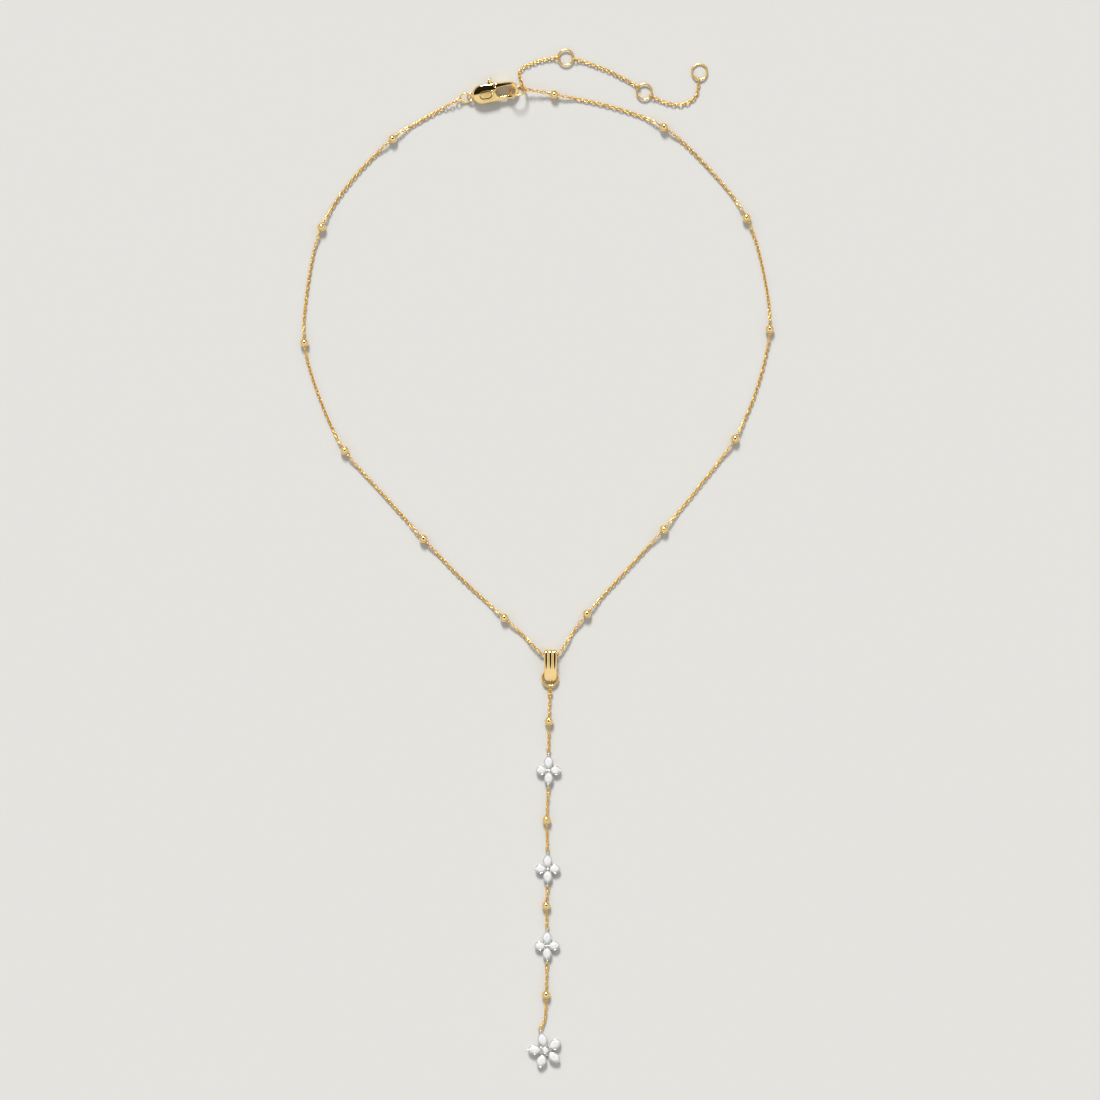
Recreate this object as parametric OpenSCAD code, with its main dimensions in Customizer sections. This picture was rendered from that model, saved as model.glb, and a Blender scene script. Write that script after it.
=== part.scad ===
// Lariat necklace laid flat: a satellite chain closed by a lobster clasp, an extender
// of three rings, and a ribbed bail that carries a drop of four stone flowers.
// X runs across the loop, Y up towards the clasp, Z up from the surface it lies on.

/* [Chain] */
// Outer width of a chain link
link_w = 1.15; // [1.1:0.05:1.3]
// Wire of a chain link
link_wire = 0.22; // [0.18:0.01:0.24]
// Distance from one link to the next
link_pitch = 0.93; // [0.9:0.01:1]
// Free play between a link and what it holds
link_play = 0.14; // [0.12:0.01:0.15]
// Wire of the larger links that hold rings and flower loops
eye_wire = 0.28; // [0.24:0.01:0.3]
// Stretch that a larger link spans between what it holds
eye_span = 1.05; // [1:0.05:1.3]

/* [Beads] */
// Diameter of a bead
bead_d = 2.3; // [2.2:0.05:2.6]
// Bore of a bead
bead_bore = 1.2; // [1.16:0.02:1.3]

/* [Rings] */
// Outer diameter of an extender ring
ring_d = 4.5; // [4.3:0.1:4.8]
// Outer diameter of the ring that the clasp hooks
connector_d = 4.8; // [4.7:0.1:5]
// Wire of the connector ring and the extender rings
ring_wire = 0.5; // [0.45:0.05:0.55]
// Outer diameter of the jump ring at the clasp's tail
tail_ring_d = 3.3; // [3.1:0.1:3.5]
// Wire of the jump ring at the clasp's tail
tail_ring_wire = 0.42; // [0.36:0.02:0.44]
// Outer diameter of the ring that hangs in the bail
bail_ring_d = 4.6; // [4.5:0.1:5]
// Wire of the ring that hangs in the bail
bail_ring_wire = 0.6; // [0.5:0.05:0.6]

/* [Bail] */
// Width of the bail
bail_w = 3.3; // [3.1:0.1:3.6]
// Length of the bail from its upper bend to its lower bend
bail_len = 8.5; // [8:0.25:9]
// Height of the bail over the chain
bail_top_h = 2.4; // [2.3:0.05:2.8]
// Height of the bail over its ring
bail_low_h = 1.8; // [1.7:0.05:2.1]
// Wall of the bail between its ribs
bail_wall = 0.3; // [0.25:0.01:0.35]
// Height of a rib above the wall
rib_h = 0.15; // [0.1:0.01:0.18]
// Number of ribs along the bail
rib_count = 3; // [2:1:5]
// Radius of the bail's lower corners
bail_corner = 1.4; // [1.2:0.1:1.5]
// Radius of the bow of the bail's upper wall
bail_bow = 14; // [12:1:20]

/* [Clasp] */
// Length of the clasp's body without its tail eye
clasp_len = 12.1; // [11.9:0.1:12.4]
// Width of the clasp's body at its tail
clasp_w = 5; // [4.8:0.1:5.2]
// Width of the clasp's body at its nose
nose_w = 4.4; // [4.3:0.1:4.6]
// Thickness of the clasp's body at its fullest
clasp_t = 2.9; // [2.7:0.1:3.2]
// Wall of the hook round the claw's opening
hook_wall = 0.95; // [0.85:0.05:1]
// Length of the claw's opening
claw_len = 5.1; // [4.9:0.1:5.2]
// Thickness of the lever
lever_t = 0.9; // [0.8:0.05:1]
// Gap between the lever and the clasp's body
lever_gap = 0.08; // [0.06:0.01:0.12]
// Height of the thumb tab
tab_h = 1.7; // [1.4:0.1:2]
// Width of the thumb tab
tab_w = 1.6; // [1.3:0.1:1.8]
// Diameter of the lever's pin
pin_d = 0.8; // [0.7:0.05:0.9]
// Radial play of the lever on its pin
pin_play = 0.05; // [0.03:0.01:0.08]
// How far the lever opens, in degrees
lever_open = 18; // [12:1:20]
// Length of the bare oval plaque
plaque_l = 3; // [2.4:0.1:3.2]
// Width of the bare oval plaque
plaque_w = 1.75; // [1.4:0.05:1.9]
// Depth of the line round the plaque
plaque_cut = 0.08; // [0.05:0.01:0.12]
// Outer diameter of the clasp's tail eye
eye_d = 2.3; // [2.25:0.05:2.5]
// Wire of the clasp's tail eye
tail_eye_wire = 0.5; // [0.45:0.01:0.52]

/* [Flowers] */
// Length of an upper or lower petal
petal_len = 3.4; // [3.1:0.1:3.6]
// Length of a side petal
side_petal_len = 2.9; // [2.6:0.1:3.1]
// Width of a petal
petal_w = 2.4; // [2.2:0.05:2.45]
// Length of a petal of the end flower
end_petal_len = 3.5; // [3.2:0.1:3.7]
// Width of a petal of the end flower
end_petal_w = 2.55; // [2.3:0.05:2.6]
// Diameter of the end flower's centre cup
centre_d = 1.9; // [1.7:0.05:2.1]
// Wall of a stone's cup
cup_wall = 0.18; // [0.14:0.01:0.22]
// Height of a stone's cup
cup_h = 1.5; // [1.3:0.05:1.7]
// Floor of a stone's cup
cup_floor = 0.4; // [0.3:0.05:0.5]
// Gap between a stone and its cup
stone_gap = 0.04; // [0.03:0.01:0.06]
// Height of a stone above its girdle
crown_h = 0.45; // [0.35:0.05:0.55]
// Height of the band round a stone
girdle_h = 0.1; // [0.08:0.01:0.14]
// Depth of a stone below its girdle
keel_h = 0.7; // [0.5:0.05:0.75]
// Wire of a flower's loop
loop_wire = 0.3; // [0.26:0.01:0.34]
// Outer diameter of a flower's loop
loop_d = 1.3; // [1.25:0.05:1.4]
// Diameter of the small ball in the middle of a flower
ball_d = 0.8; // [0.6:0.05:0.9]

/* [Hidden] */
$fn = 64;
LINK_SIDES = 10;
WIRE_SIDES = 5;
TUBE_SIDES = 8;
STONE_SIDES = 12;
FLOWER_COUNT = 4;
JOINT = 0;
RING = 1;
LOOP = 2;
TAIL = 3;
HANG = 4;

// Places are measured from the middle of the layout, and set moves them to the middle
// of the whole necklace's box
mid_y = -0.55;
function set(p) = len(p) == 2 ? p + [0, mid_y] : p + [0, mid_y, 0];
function set_all(list) = [for (p = list) set(p)];

// Course of the neck chain from the clasp's tail ring round to the connector ring:
// [x, y, has a bead]
NECK_ROUTE = set_all([
    [-21.5, 119, 0], [-29, 115, 0], [-37.5, 109.5, 1], [-48, 99, 0], [-56, 86.5, 1],
    [-59.5, 72, 0], [-60.5, 56.5, 1], [-56.5, 42, 0], [-50, 28.5, 1], [-40, 17, 0],
    [-29.5, 5.5, 1], [-19.5, -5, 0], [-8.5, -15, 1], [-3, -20.2, 0], [0.6, -23.8, 0],
    [2, -24.8, 0], [3.5, -25.2, 0], [5.1, -24.9, 0], [6.3, -23.6, 0], [9.3, -19, 0],
    [13, -14, 1], [23, -3, 0], [33, 8, 1], [42.5, 19.5, 0], [51.5, 31.5, 1],
    [57.5, 45.5, 0], [60.5, 60, 1], [59, 74.5, 0], [54.5, 89, 1], [45, 101.5, 0],
    [33, 112.5, 1], [19, 118, 0], [4.5, 121, 1], [1.3, 121.6, 0],
    [-1.5, 122.1, 0]
]);
NECK_BEADS = [for (p = NECK_ROUTE) if (p[2] == 1) p];

// Middles of the rings and course of the extender chain between them
RING_1 = set([7.5, 130.7]);
RING_2 = set([27.9, 121.8]);
RING_3 = set([42.3, 127]);
EXTENDER_1 = set_all([[-4.05, 124.4], [-4.6, 125.7], [-4.6, 126.9], [-3.9, 127.8], [-2.2, 128.8], [1, 129.9]]);
EXTENDER_2 = set_all([[12.5, 129.5], [15.3, 128.5], [18.5, 127.3], [21.6, 125.7], [24.6, 124.1]]);
EXTENDER_3 = set_all([
    [32.5, 119.3], [34.5, 118.7], [36.3, 118.4], [38.4, 118.6], [40.3, 119.6],
    [41.5, 121], [41.9, 122.5]
]);

// Middles of the drop's beads and flowers, from the bail down
DROP_BEADS = set_all([[3.1, -41.9], [2.5, -67.6], [2.4, -89.8], [2.35, -113]]);
FLOWERS = set_all([[3, -54.7], [2.75, -80.3], [2.6, -100.3], [2.2, -127.5]]);
DROP_LOW = set([2, -119.6, 0.7]);
END_TURN = 105;
END_PETALS = 5;

// Clasp: its own frame has U along it towards the nose and V across it
CLASP_AT = set([-10.92, 121.42]);
CLASP_TURN = 10;
clasp_r = clasp_w / 2;
nose_r = nose_w / 2;
clasp_nose_u = 6.2;
NOSE = [clasp_nose_u - nose_r, 0];
TAIL_END = [clasp_nose_u - clasp_len + clasp_r, 0.15];
clasp_z = clasp_t / 2;
claw_r = nose_r - hook_wall;
claw_end_r = claw_r - 0.15;
CLAW = [NOSE[0], -0.05];
CLAW_END = [CLAW[0] + claw_r - claw_len + claw_end_r, CLAW[1]];
pivot = [-0.55, 0.3];
lever_reach = norm([2.7, 0.3 - nose_r] - pivot);
PLAQUE = [-2.45, -0.25];
eye_r = (eye_d - tail_eye_wire) / 2;
eye_u = clasp_nose_u - clasp_len - eye_r + 0.45;
eye_z = 1.2;
lens_r = 4.6;
spine_r = 28;
spine_u = -1.6;

// Rings
ring_r = (ring_d - ring_wire) / 2;
tail_ring_r = (tail_ring_d - tail_ring_wire) / 2;
TAIL_RING_ROLL = 40;
tail_ring_u = eye_u - tail_ring_r;
tail_joint = concat(clasp_xy([tail_ring_u - tail_ring_r, 0]), eye_z);
connector_r = (connector_d - ring_wire) / 2;
bail_ring_r = (bail_ring_d - bail_ring_wire) / 2;
eye_w_ring = ring_wire + 2 * eye_wire + 2 * link_play;
ring_z = eye_w_ring / 2 + 0.02;
CONNECTOR_TILT = 54;
CONNECTOR_UV = [5.95, -0.6];
CONNECTOR_TOP = 51;
connector_z = ring_z + connector_r * sin(CONNECTOR_TOP) * sin(CONNECTOR_TILT);
connector_c = concat(clasp_xy(CONNECTOR_UV), connector_z);

// Bail, lying with its lower wall flat
bail_x = 3.5;
bail_y = mid_y - 23.2;
bail_top_r = bail_top_h / 2;
bail_low_r = bail_low_h / 2;
bail_span = bail_len - bail_top_r - bail_low_r;
bail_band = bail_wall + rib_h;
bail_ring_c = set([3.4, -30.75, 0.95]);
// Middle of the bow: its circle touches both bends from outside
bow_gap = norm([bail_span, bail_top_r - bail_low_r]);
bow_tilt = atan((bail_top_r - bail_low_r) / bail_span);
bow_along = (pow(bow_gap, 2) + pow(bail_bow - bail_top_r, 2) - pow(bail_bow - bail_low_r, 2)) / (2 * bow_gap);
bow_top = asin(bow_along / (bail_bow - bail_top_r)) - bow_tilt;
bow_low = asin((bow_gap - bow_along) / (bail_bow - bail_low_r)) + bow_tilt;
bow_c = -(bail_bow - bail_top_r) * [sin(bow_top), cos(bow_top)];

// Heights of what lies on the surface
bead_z = bead_d / 2;
chain_z = link_w / 2 + 0.02;
loop_z = loop_d / 2 + 0.05;
bead_half = sqrt(pow(bead_d / 2, 2) - pow(bead_bore / 2, 2));
bead_joint = bead_half + link_play + link_wire + link_play / 2;
bead_link_w = bead_bore - 2 * link_play;

function unit(v) = v / norm(v);
function side_of(t) = unit(cross([0, 0, 1], t));
function turned(p, a) = [p[0] * cos(a) - p[1] * sin(a), p[0] * sin(a) + p[1] * cos(a)];
function clasp_xy(p) = CLASP_AT + turned(p, CLASP_TURN);
function flat_of(lists) = [for (l = lists) for (v = l) v];

// Catmull-Rom curve through the points, with n steps between two of them
function curve_at(a, b, c, d, t) =
    (2 * b + (c - a) * t + (2 * a - 5 * b + 4 * c - d) * t * t
        + (3 * b - a - 3 * c + d) * t * t * t) / 2;
function curve(p, n = 8) = concat(
    [for (i = [0 : len(p) - 2]) for (k = [0 : n - 1])
        curve_at(p[max(i - 1, 0)], p[i], p[i + 1], p[min(i + 2, len(p) - 1)], k / n)],
    [p[len(p) - 1]]
);
// Length along the points up to each of them, and the place at a length s
function lengths(p) =
    [for (i = 0, s = 0; i < len(p); i = i + 1, s = s + (i < len(p) ? norm(p[i] - p[i - 1]) : 0)) s];
function place(p, run, s, i = 1) =
    s <= run[i] || i == len(p) - 1
        ? p[i - 1] + (p[i] - p[i - 1]) * (s - run[i - 1]) / (run[i] - run[i - 1])
        : place(p, run, s, i + 1);

// What a link holds at one end: the wire, the reach past its middle and the link's width
function held_wire(kind) =
    kind == RING ? ring_wire : kind == TAIL ? tail_ring_wire : kind == LOOP ? loop_wire
        : kind == HANG ? bail_ring_wire : 0;
function reach(kind, wire = link_wire) = kind == JOINT
    ? (wire + link_play) / 2
    : held_wire(kind) / 2 + wire / 2 + link_play;
function eye_w(kind) = max(link_w, held_wire(kind) + 2 * eye_wire + 2 * link_play);
function half_turn(a) = let (b = a - 180 * floor(a / 180)) b > 90 ? b - 180 : b;

// A link is [first joint, second joint, reach past each, outer width, wire, roll].
// Links of a stretch alternate by a quarter turn, and drift to meet the last roll.
function stretch(route, first, last, roll_a, roll_b) =
    let (
        p = curve(route),
        run = lengths(p),
        total = run[len(run) - 1],
        a = first == JOINT ? 0 : eye_span,
        b = last == JOINT ? 0 : eye_span,
        n = max(1, round((total - a - b) / link_pitch)),
        s = concat(
            first == JOINT ? [] : [0],
            [for (i = [0 : n]) a + (total - a - b) * i / n],
            last == JOINT ? [] : [total]
        ),
        m = len(s) - 1,
        drift = half_turn(roll_b - roll_a - 90 * (m - 1)) / max(1, m - 1)
    )
    [for (i = [0 : m - 1])
        let (
            kind_a = i == 0 ? first : JOINT,
            kind_b = i == m - 1 ? last : JOINT,
            small = kind_a + kind_b == 0,
            wire = small ? link_wire : eye_wire
        )
        [place(p, run, s[i]), place(p, run, s[i + 1]), reach(kind_a, wire), reach(kind_b, wire),
            small ? link_w : max(eye_w(kind_a), eye_w(kind_b)), wire, roll_a + (90 + drift) * i]];

function link_points(l) =
    let (
        t = unit(l[1] - l[0]),
        a = l[0] - t * l[2],
        b = l[1] + t * l[3],
        side = side_of(t),
        across = side * cos(l[6]) + cross(t, side) * sin(l[6]),
        face = cross(t, across),
        bow = (l[4] - l[5]) / 2,
        half = norm(b - a) / 2 - bow,
        r = l[5] / 2
    )
    [for (i = [0 : LINK_SIDES - 1])
        let (
            q = i * 360 / LINK_SIDES,
            out = t * cos(q) + across * sin(q),
            c = (a + b) / 2 + t * sign(cos(q)) * half + out * bow
        )
        for (j = [0 : WIRE_SIDES - 1])
            let (w = j * 360 / WIRE_SIDES) c + out * r * cos(w) + face * r * sin(w)];

function band_faces(rings, sides, start, closed) =
    [for (i = [0 : rings - (closed ? 1 : 2)]) for (j = [0 : sides - 1])
        let (
            a = start + i * sides + j,
            b = start + i * sides + (j + 1) % sides,
            c = start + ((i + 1) % rings) * sides + (j + 1) % sides,
            d = start + ((i + 1) % rings) * sides + j
        )
        for (f = [[a, b, c], [a, c, d]]) f];

// A shell is [points, faces]; disjoint shells are drawn as one polyhedron
module shells(list) {
    starts = [for (i = 0, n = 0; i < len(list); n = n + len(list[i][0]), i = i + 1) n];
    polyhedron(
        points = flat_of([for (l = list) l[0]]),
        faces = flat_of([for (k = [0 : len(list) - 1])
            [for (f = list[k][1]) [for (v = f) v + starts[k]]]])
    );
}
LINK_FACES = band_faces(LINK_SIDES, WIRE_SIDES, 0, true);
function link_shell(l) = [link_points(l), LINK_FACES];
module links(list) {
    shells([for (l = list) link_shell(l)]);
}

// Rings of the neck chain's tube: [middle, direction]. It passes through each bead's bore.
function neck_z(i) = NECK_ROUTE[i][2] == 1 ? bead_z
    : i > 12 && i < 20 ? bail_top_r
    : i == 0 ? eye_z - 0.2
    : i == len(NECK_ROUTE) - 1 ? connector_z - 0.2
    : i == len(NECK_ROUTE) - 2 ? bead_z + 0.3 : chain_z - 0.03;
NECK_POINTS = [for (i = [0 : len(NECK_ROUTE) - 1])
    [NECK_ROUTE[i][0], NECK_ROUTE[i][1], neck_z(i)]];
function neck_dir(i) =
    let (t = NECK_POINTS[min(i + 1, len(NECK_POINTS) - 1)] - NECK_POINTS[max(i - 1, 0)])
    unit(NECK_ROUTE[i][2] == 1 ? [t[0], t[1], 0] : t);
neck_r = bead_bore / 2 - link_play;
neck_step = bead_half + 0.2;
NECK_CURVE = curve(NECK_POINTS, 2);
NECK_RINGS = flat_of([for (i = [0 : len(NECK_CURVE) - 1])
    let (p = NECK_CURVE[i], t = unit(NECK_CURVE[min(i + 1, len(NECK_CURVE) - 1)]
        - NECK_CURVE[max(i - 1, 0)]), k = floor(i / 2))
    i % 2 == 0
        ? NECK_ROUTE[k][2] == 0
            ? [[p, t]]
            : [[p - neck_dir(k) * neck_step, neck_dir(k)], [p + neck_dir(k) * neck_step, neck_dir(k)]]
        : norm(NECK_POINTS[k + 1] - NECK_POINTS[k]) > 4 ? [[p, t]] : []]);

function tube_shell(rings) =
    let (n = len(rings))
    [
        [for (r = rings) let (s = side_of(r[1]), u = cross(r[1], s))
            for (j = [0 : TUBE_SIDES - 1]) let (q = (j + 0.5) * 360 / TUBE_SIDES)
                r[0] + (s * cos(q) + u * sin(q)) * neck_r],
        concat(
            [for (f = band_faces(n, TUBE_SIDES, 0, false)) [f[0], f[2], f[1]]],
            [[for (j = [0 : TUBE_SIDES - 1]) j]],
            [[for (j = [TUBE_SIDES - 1 : -1 : 0]) (n - 1) * TUBE_SIDES + j]]
        )
    ];

// The larger link between a ring and the first joint of a chain
function end_link(joint, kind, toward, roll) =
    let (t = unit(toward - joint))
    [joint, joint + t * eye_span, reach(kind, eye_wire), reach(JOINT, eye_wire), eye_w(kind),
        eye_wire, roll];

module neck_chain() {
    last = len(NECK_POINTS) - 1;
    color("goldenrod")
    shells([
        tube_shell(NECK_RINGS),
        link_shell(end_link(tail_joint, TAIL, NECK_POINTS[0], 90 - TAIL_RING_ROLL)),
        link_shell(end_link(connector_right, RING, NECK_POINTS[last],
            roll_over(NECK_POINTS[last] - connector_right, connector_out(90))))
    ]);
}

// A wire ring lying flat about the origin
module wire_ring(r, wire) {
    rotate_extrude() translate([r, 0]) circle(d = wire);
}

module bead(at, dir) {
    color("gold")
    translate([at[0], at[1], bead_z])
    rotate([0, 0, atan2(dir[1], dir[0])])
    rotate([0, 90, 0])
    difference() {
        sphere(d = bead_d, $fn = 96);
        cylinder(d = bead_bore, h = bead_d + 1, center = true);
    }
}

NECK_BEAD_AT = [for (i = [0 : len(NECK_ROUTE) - 1]) if (NECK_ROUTE[i][2] == 1) i];
module neck_bead(i) {
    k = NECK_BEAD_AT[i - 1];
    bead(NECK_ROUTE[k], neck_dir(k));
}

// Places of the drop's chain: joints beside a bead and joints on a flower's loops
function drop_bead_dir(i) =
    unit(FLOWERS[i] - (i == 0 ? [bail_ring_c[0], bail_ring_c[1]] : FLOWERS[i - 1]));
function drop_bead_joint(i, way) =
    concat(DROP_BEADS[i] + drop_bead_dir(i) * bead_joint * way, bead_z);
module drop_bead(i) {
    bead(DROP_BEADS[i - 1], drop_bead_dir(i - 1));
}

loop_r = (loop_d - loop_wire) / 2;
station_in = 0.35;
side_in = 0.4;
station_tip = station_in + petal_len;
end_in = centre_d / 2 + 0.2;
end_tip = end_in + end_petal_len;
function is_end(i) = i == FLOWER_COUNT;
function petal_count(i) = is_end(i) ? END_PETALS : 4;
function petal_turn(i, j) = (is_end(i) ? END_TURN : 90) + (j - 1) * 360 / petal_count(i);
// [length, width, distance of the inner tip from the flower's middle]
function petal(i, j) = is_end(i) ? [end_petal_len, end_petal_w, end_in]
    : j % 2 == 1 ? [petal_len, petal_w, station_in]
    : [side_petal_len, petal_w, side_in];
function loop_mid(i, way) =
    is_end(i)
        ? FLOWERS[i - 1] + turned([end_tip + loop_r - 0.1, 0], END_TURN)
        : FLOWERS[i - 1] + [0, way * (station_tip + loop_r - 0.1)];
function loop_joint(i, way) =
    is_end(i)
        ? concat(loop_mid(i, 1) + turned([loop_r, 0], END_TURN), loop_z)
        : concat(loop_mid(i, way) + [0, way * loop_r], loop_z);

// Joint on a ring lying flat, in the direction of an angle
function ring_joint(c, r, angle, z = ring_z) =
    [c[0] + r * cos(angle), c[1] + r * sin(angle), z];
function at_z(list, z) = [for (p = list) [p[0], p[1], z]];

RING_1_LEFT = 178;
RING_1_RIGHT = -12;
RING_2_LEFT = 139;
RING_2_RIGHT = -33;
RING_3_LOW = -95;
ring_3_tilt = asin((ring_z - ring_wire / 2) / (2 * ring_r));
// Place and direction of the connector ring's wire at an angle round it
function connector_at(q) = connector_c + connector_r * connector_out(q);
function connector_out(q) = concat(
    turned([cos(q), sin(q) * cos(CONNECTOR_TILT)], CLASP_TURN), -sin(q) * sin(CONNECTOR_TILT));
connector_top = connector_at(CONNECTOR_TOP);
connector_right = connector_at(0);

// Roll that sets a link heading along t square to a wire heading along w
function roll_over(t, w) = let (s = side_of(t), a = cross(w, t)) atan2(a * cross(t, s), a * s);

module extender_chain() {
    color("goldenrod")
    links(concat(
        stretch(concat([connector_top], at_z(EXTENDER_1, chain_z),
            [ring_joint(RING_1, ring_r, RING_1_LEFT)]), RING, RING,
            roll_over(concat(EXTENDER_1[0], connector_top[2]) - connector_top,
                connector_out(CONNECTOR_TOP + 90)), 90),
        stretch(concat([ring_joint(RING_1, ring_r, RING_1_RIGHT)], at_z(EXTENDER_2, chain_z),
            [ring_joint(RING_2, ring_r, RING_2_LEFT)]), RING, RING, 90, 90),
        stretch(concat([ring_joint(RING_2, ring_r, RING_2_RIGHT)], at_z(EXTENDER_3, chain_z),
            [ring_joint(RING_3, ring_r, RING_3_LOW)]), RING, RING, 90, 90)
    ));
}

module drop_chain() {
    ring_low = bail_ring_c + [0, -bail_ring_r, 0];
    color("goldenrod")
    links(concat(
        stretch([ring_low, drop_bead_joint(0, -1)], HANG, JOINT, 90, 90),
        flat_of([for (i = [0 : len(DROP_BEADS) - 1]) concat(
            [[drop_bead_joint(i, -1), drop_bead_joint(i, 1), reach(JOINT), reach(JOINT),
                bead_link_w, link_wire, 0]],
            stretch(concat([drop_bead_joint(i, 1)], is_end(i + 1) ? [DROP_LOW] : [],
                [loop_joint(i + 1, 1)]), JOINT, LOOP, 90, 0)
        )]),
        flat_of([for (i = [1 : len(DROP_BEADS) - 1])
            stretch([loop_joint(i, -1), drop_bead_joint(i, -1)], LOOP, JOINT, 0, 90)])
    ));
}

module connector_ring() {
    color("gold")
    translate(connector_c)
    rotate([0, 0, CLASP_TURN])
    rotate([-CONNECTOR_TILT, 0, 0])
    wire_ring(connector_r, ring_wire);
}

module clasp_tail_ring() {
    color("gold")
    translate(concat(clasp_xy([tail_ring_u, 0]), eye_z))
    rotate([0, 0, CLASP_TURN])
    rotate([TAIL_RING_ROLL, 0, 0])
    wire_ring(tail_ring_r, tail_ring_wire);
}

// The last ring's lower edge is held up by the chain, and its far edge lies down
module extender_ring(i) {
    color("gold")
    if (i == 3)
        translate(ring_joint(RING_3, ring_r, RING_3_LOW))
        rotate([0, 0, RING_3_LOW])
        rotate([0, -ring_3_tilt, 0])
        translate([-ring_r, 0, 0])
        wire_ring(ring_r, ring_wire);
    else
        translate(concat([RING_1, RING_2][i - 1], ring_z)) wire_ring(ring_r, ring_wire);
}

module bail_ring() {
    color("gold") translate(bail_ring_c) wire_ring(bail_ring_r, bail_ring_wire);
}

// Section of the bail's band: flat inside at y = 0, with convex ribs side by side outside
module band_section() {
    rib_w = bail_w / rib_count;
    rib_r = (pow(rib_w / 2, 2) + pow(rib_h, 2)) / (2 * rib_h);
    translate([-bail_w / 2, 0])
    for (i = [0 : rib_count - 1])
        translate([i * rib_w, 0])
        intersection() {
            square([rib_w, bail_band]);
            translate([rib_w / 2, bail_band - rib_r]) circle(r = rib_r, $fn = 96);
        }
}

// A bend of the band about the X axis, from straight down through an angle
module band_bend(r, angle) {
    rotate([0, 90, 0])
    rotate_extrude(angle = angle)
    rotate([0, 0, -90])
    translate([0, r - bail_band])
    band_section();
}

// A straight wall of the band from the origin along -Y with its outside on z = 0
module band_wall(len) {
    rotate([90, 0, 0])
    linear_extrude(len)
    translate([0, bail_band])
    mirror([0, 1])
    band_section();
}

module bail() {
    color("gold")
    translate([bail_x, bail_y - bail_top_r, 0])
    intersection() {
        union() {
            band_wall(bail_span);
            translate([0, 0, bail_top_r])
            translate([0, round(bow_c[0]), round(bow_c[1])])
            translate([0, bow_c[0] - round(bow_c[0]), bow_c[1] - round(bow_c[1])])
            rotate([180 - bow_top, 0, 0])
            band_bend(bail_bow, bow_top + bow_low);
            translate([0, 0, bail_top_r]) band_bend(bail_top_r, 180 - bow_top);
            translate([0, -bail_span, bail_low_r])
            mirror([0, 1, 0])
            band_bend(bail_low_r, 180 - bow_low);
        }
        translate([0, 0, -1])
        linear_extrude(bail_top_h + 2) {
            translate([-bail_w, bail_corner - bail_span - bail_low_r])
            square([2 * bail_w, bail_len]);
            for (s = [-1, 1])
                translate([s * (bail_w / 2 - bail_corner), bail_corner - bail_span - bail_low_r])
                circle(r = bail_corner);
            translate([bail_corner - bail_w / 2, -bail_span - bail_low_r])
            square([bail_w - 2 * bail_corner, bail_corner]);
        }
    }
}

// Two circles at points a and b with straight sides between them
module bar_2d(a, ra, b, rb) {
    translate(a) circle(r = ra);
    translate(b) circle(r = rb);
    polygon([a - [0, ra], b - [0, rb], b + [0, rb], a + [0, ra]]);
}

module clasp_outline() {
    bar_2d(TAIL_END, clasp_r, NOSE, nose_r);
}

module claw_opening() {
    bar_2d(CLAW_END, claw_end_r, CLAW, claw_r);
}

// Lens of two arcs, thickest at the origin
module lens(r, half, long) {
    intersection() {
        translate([0, half - r]) circle(r = r, $fn = 200);
        translate([0, r - half]) circle(r = r, $fn = 200);
        square([long, 4 * half], center = true);
    }
}

module at_clasp() {
    translate(concat(CLASP_AT, 0)) rotate([0, 0, CLASP_TURN]) children();
}

// Lever seen from above, in the clasp's frame: pivot disc, half-oval thumb tab and gate
TAB = [-0.85, clasp_r - 0.13];
TAB_LEAN = -12;
TAB_STEPS = 16;
function tab_point(q, g = 0) =
    TAB + turned([(tab_w / 2 + g) * cos(q), tab_h * sin(q)], TAB_LEAN);

module lever_outline() {
    translate(pivot) circle(r = lever_disc_r);
    polygon(concat([pivot + [-0.7, 0], pivot + [0.7, 0]],
        [for (i = [0 : TAB_STEPS]) tab_point(i * 180 / TAB_STEPS)]));
    difference() {
        intersection() {
            clasp_outline();
            translate(pivot) circle(r = lever_reach);
            polygon([pivot + [-0.6, -0.4], pivot + [0, -1.6], [gate_u, -clasp_r], [4, -clasp_r],
                [4, -claw_r + 0.1], [0.8, 0], pivot + [0.6, 0.3]]);
        }
        claw_opening();
    }
}
lever_disc_r = 0.75;
gate_u = 0.75;

// Room for the lever between the clasp's cheeks, over its whole travel
module lever_slot() {
    translate(pivot) circle(r = lever_disc_r + lever_gap);
    polygon([
        pivot + [0.7 + lever_gap, 0],
        tab_point(0, lever_gap),
        tab_point(0, lever_gap) + [1.8, 7],
        pivot + turned(3 * (tab_point(180, lever_gap) - pivot), lever_open),
        pivot + turned([-0.7 - lever_gap, 0], lever_open)
    ]);
    intersection() {
        translate(pivot) circle(r = lever_reach + lever_gap);
        polygon([pivot + [-0.7, 0], pivot + [-0.7, -9], [9, -9], [9, 0], pivot + [0.9, 0.4]]);
    }
}

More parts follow.
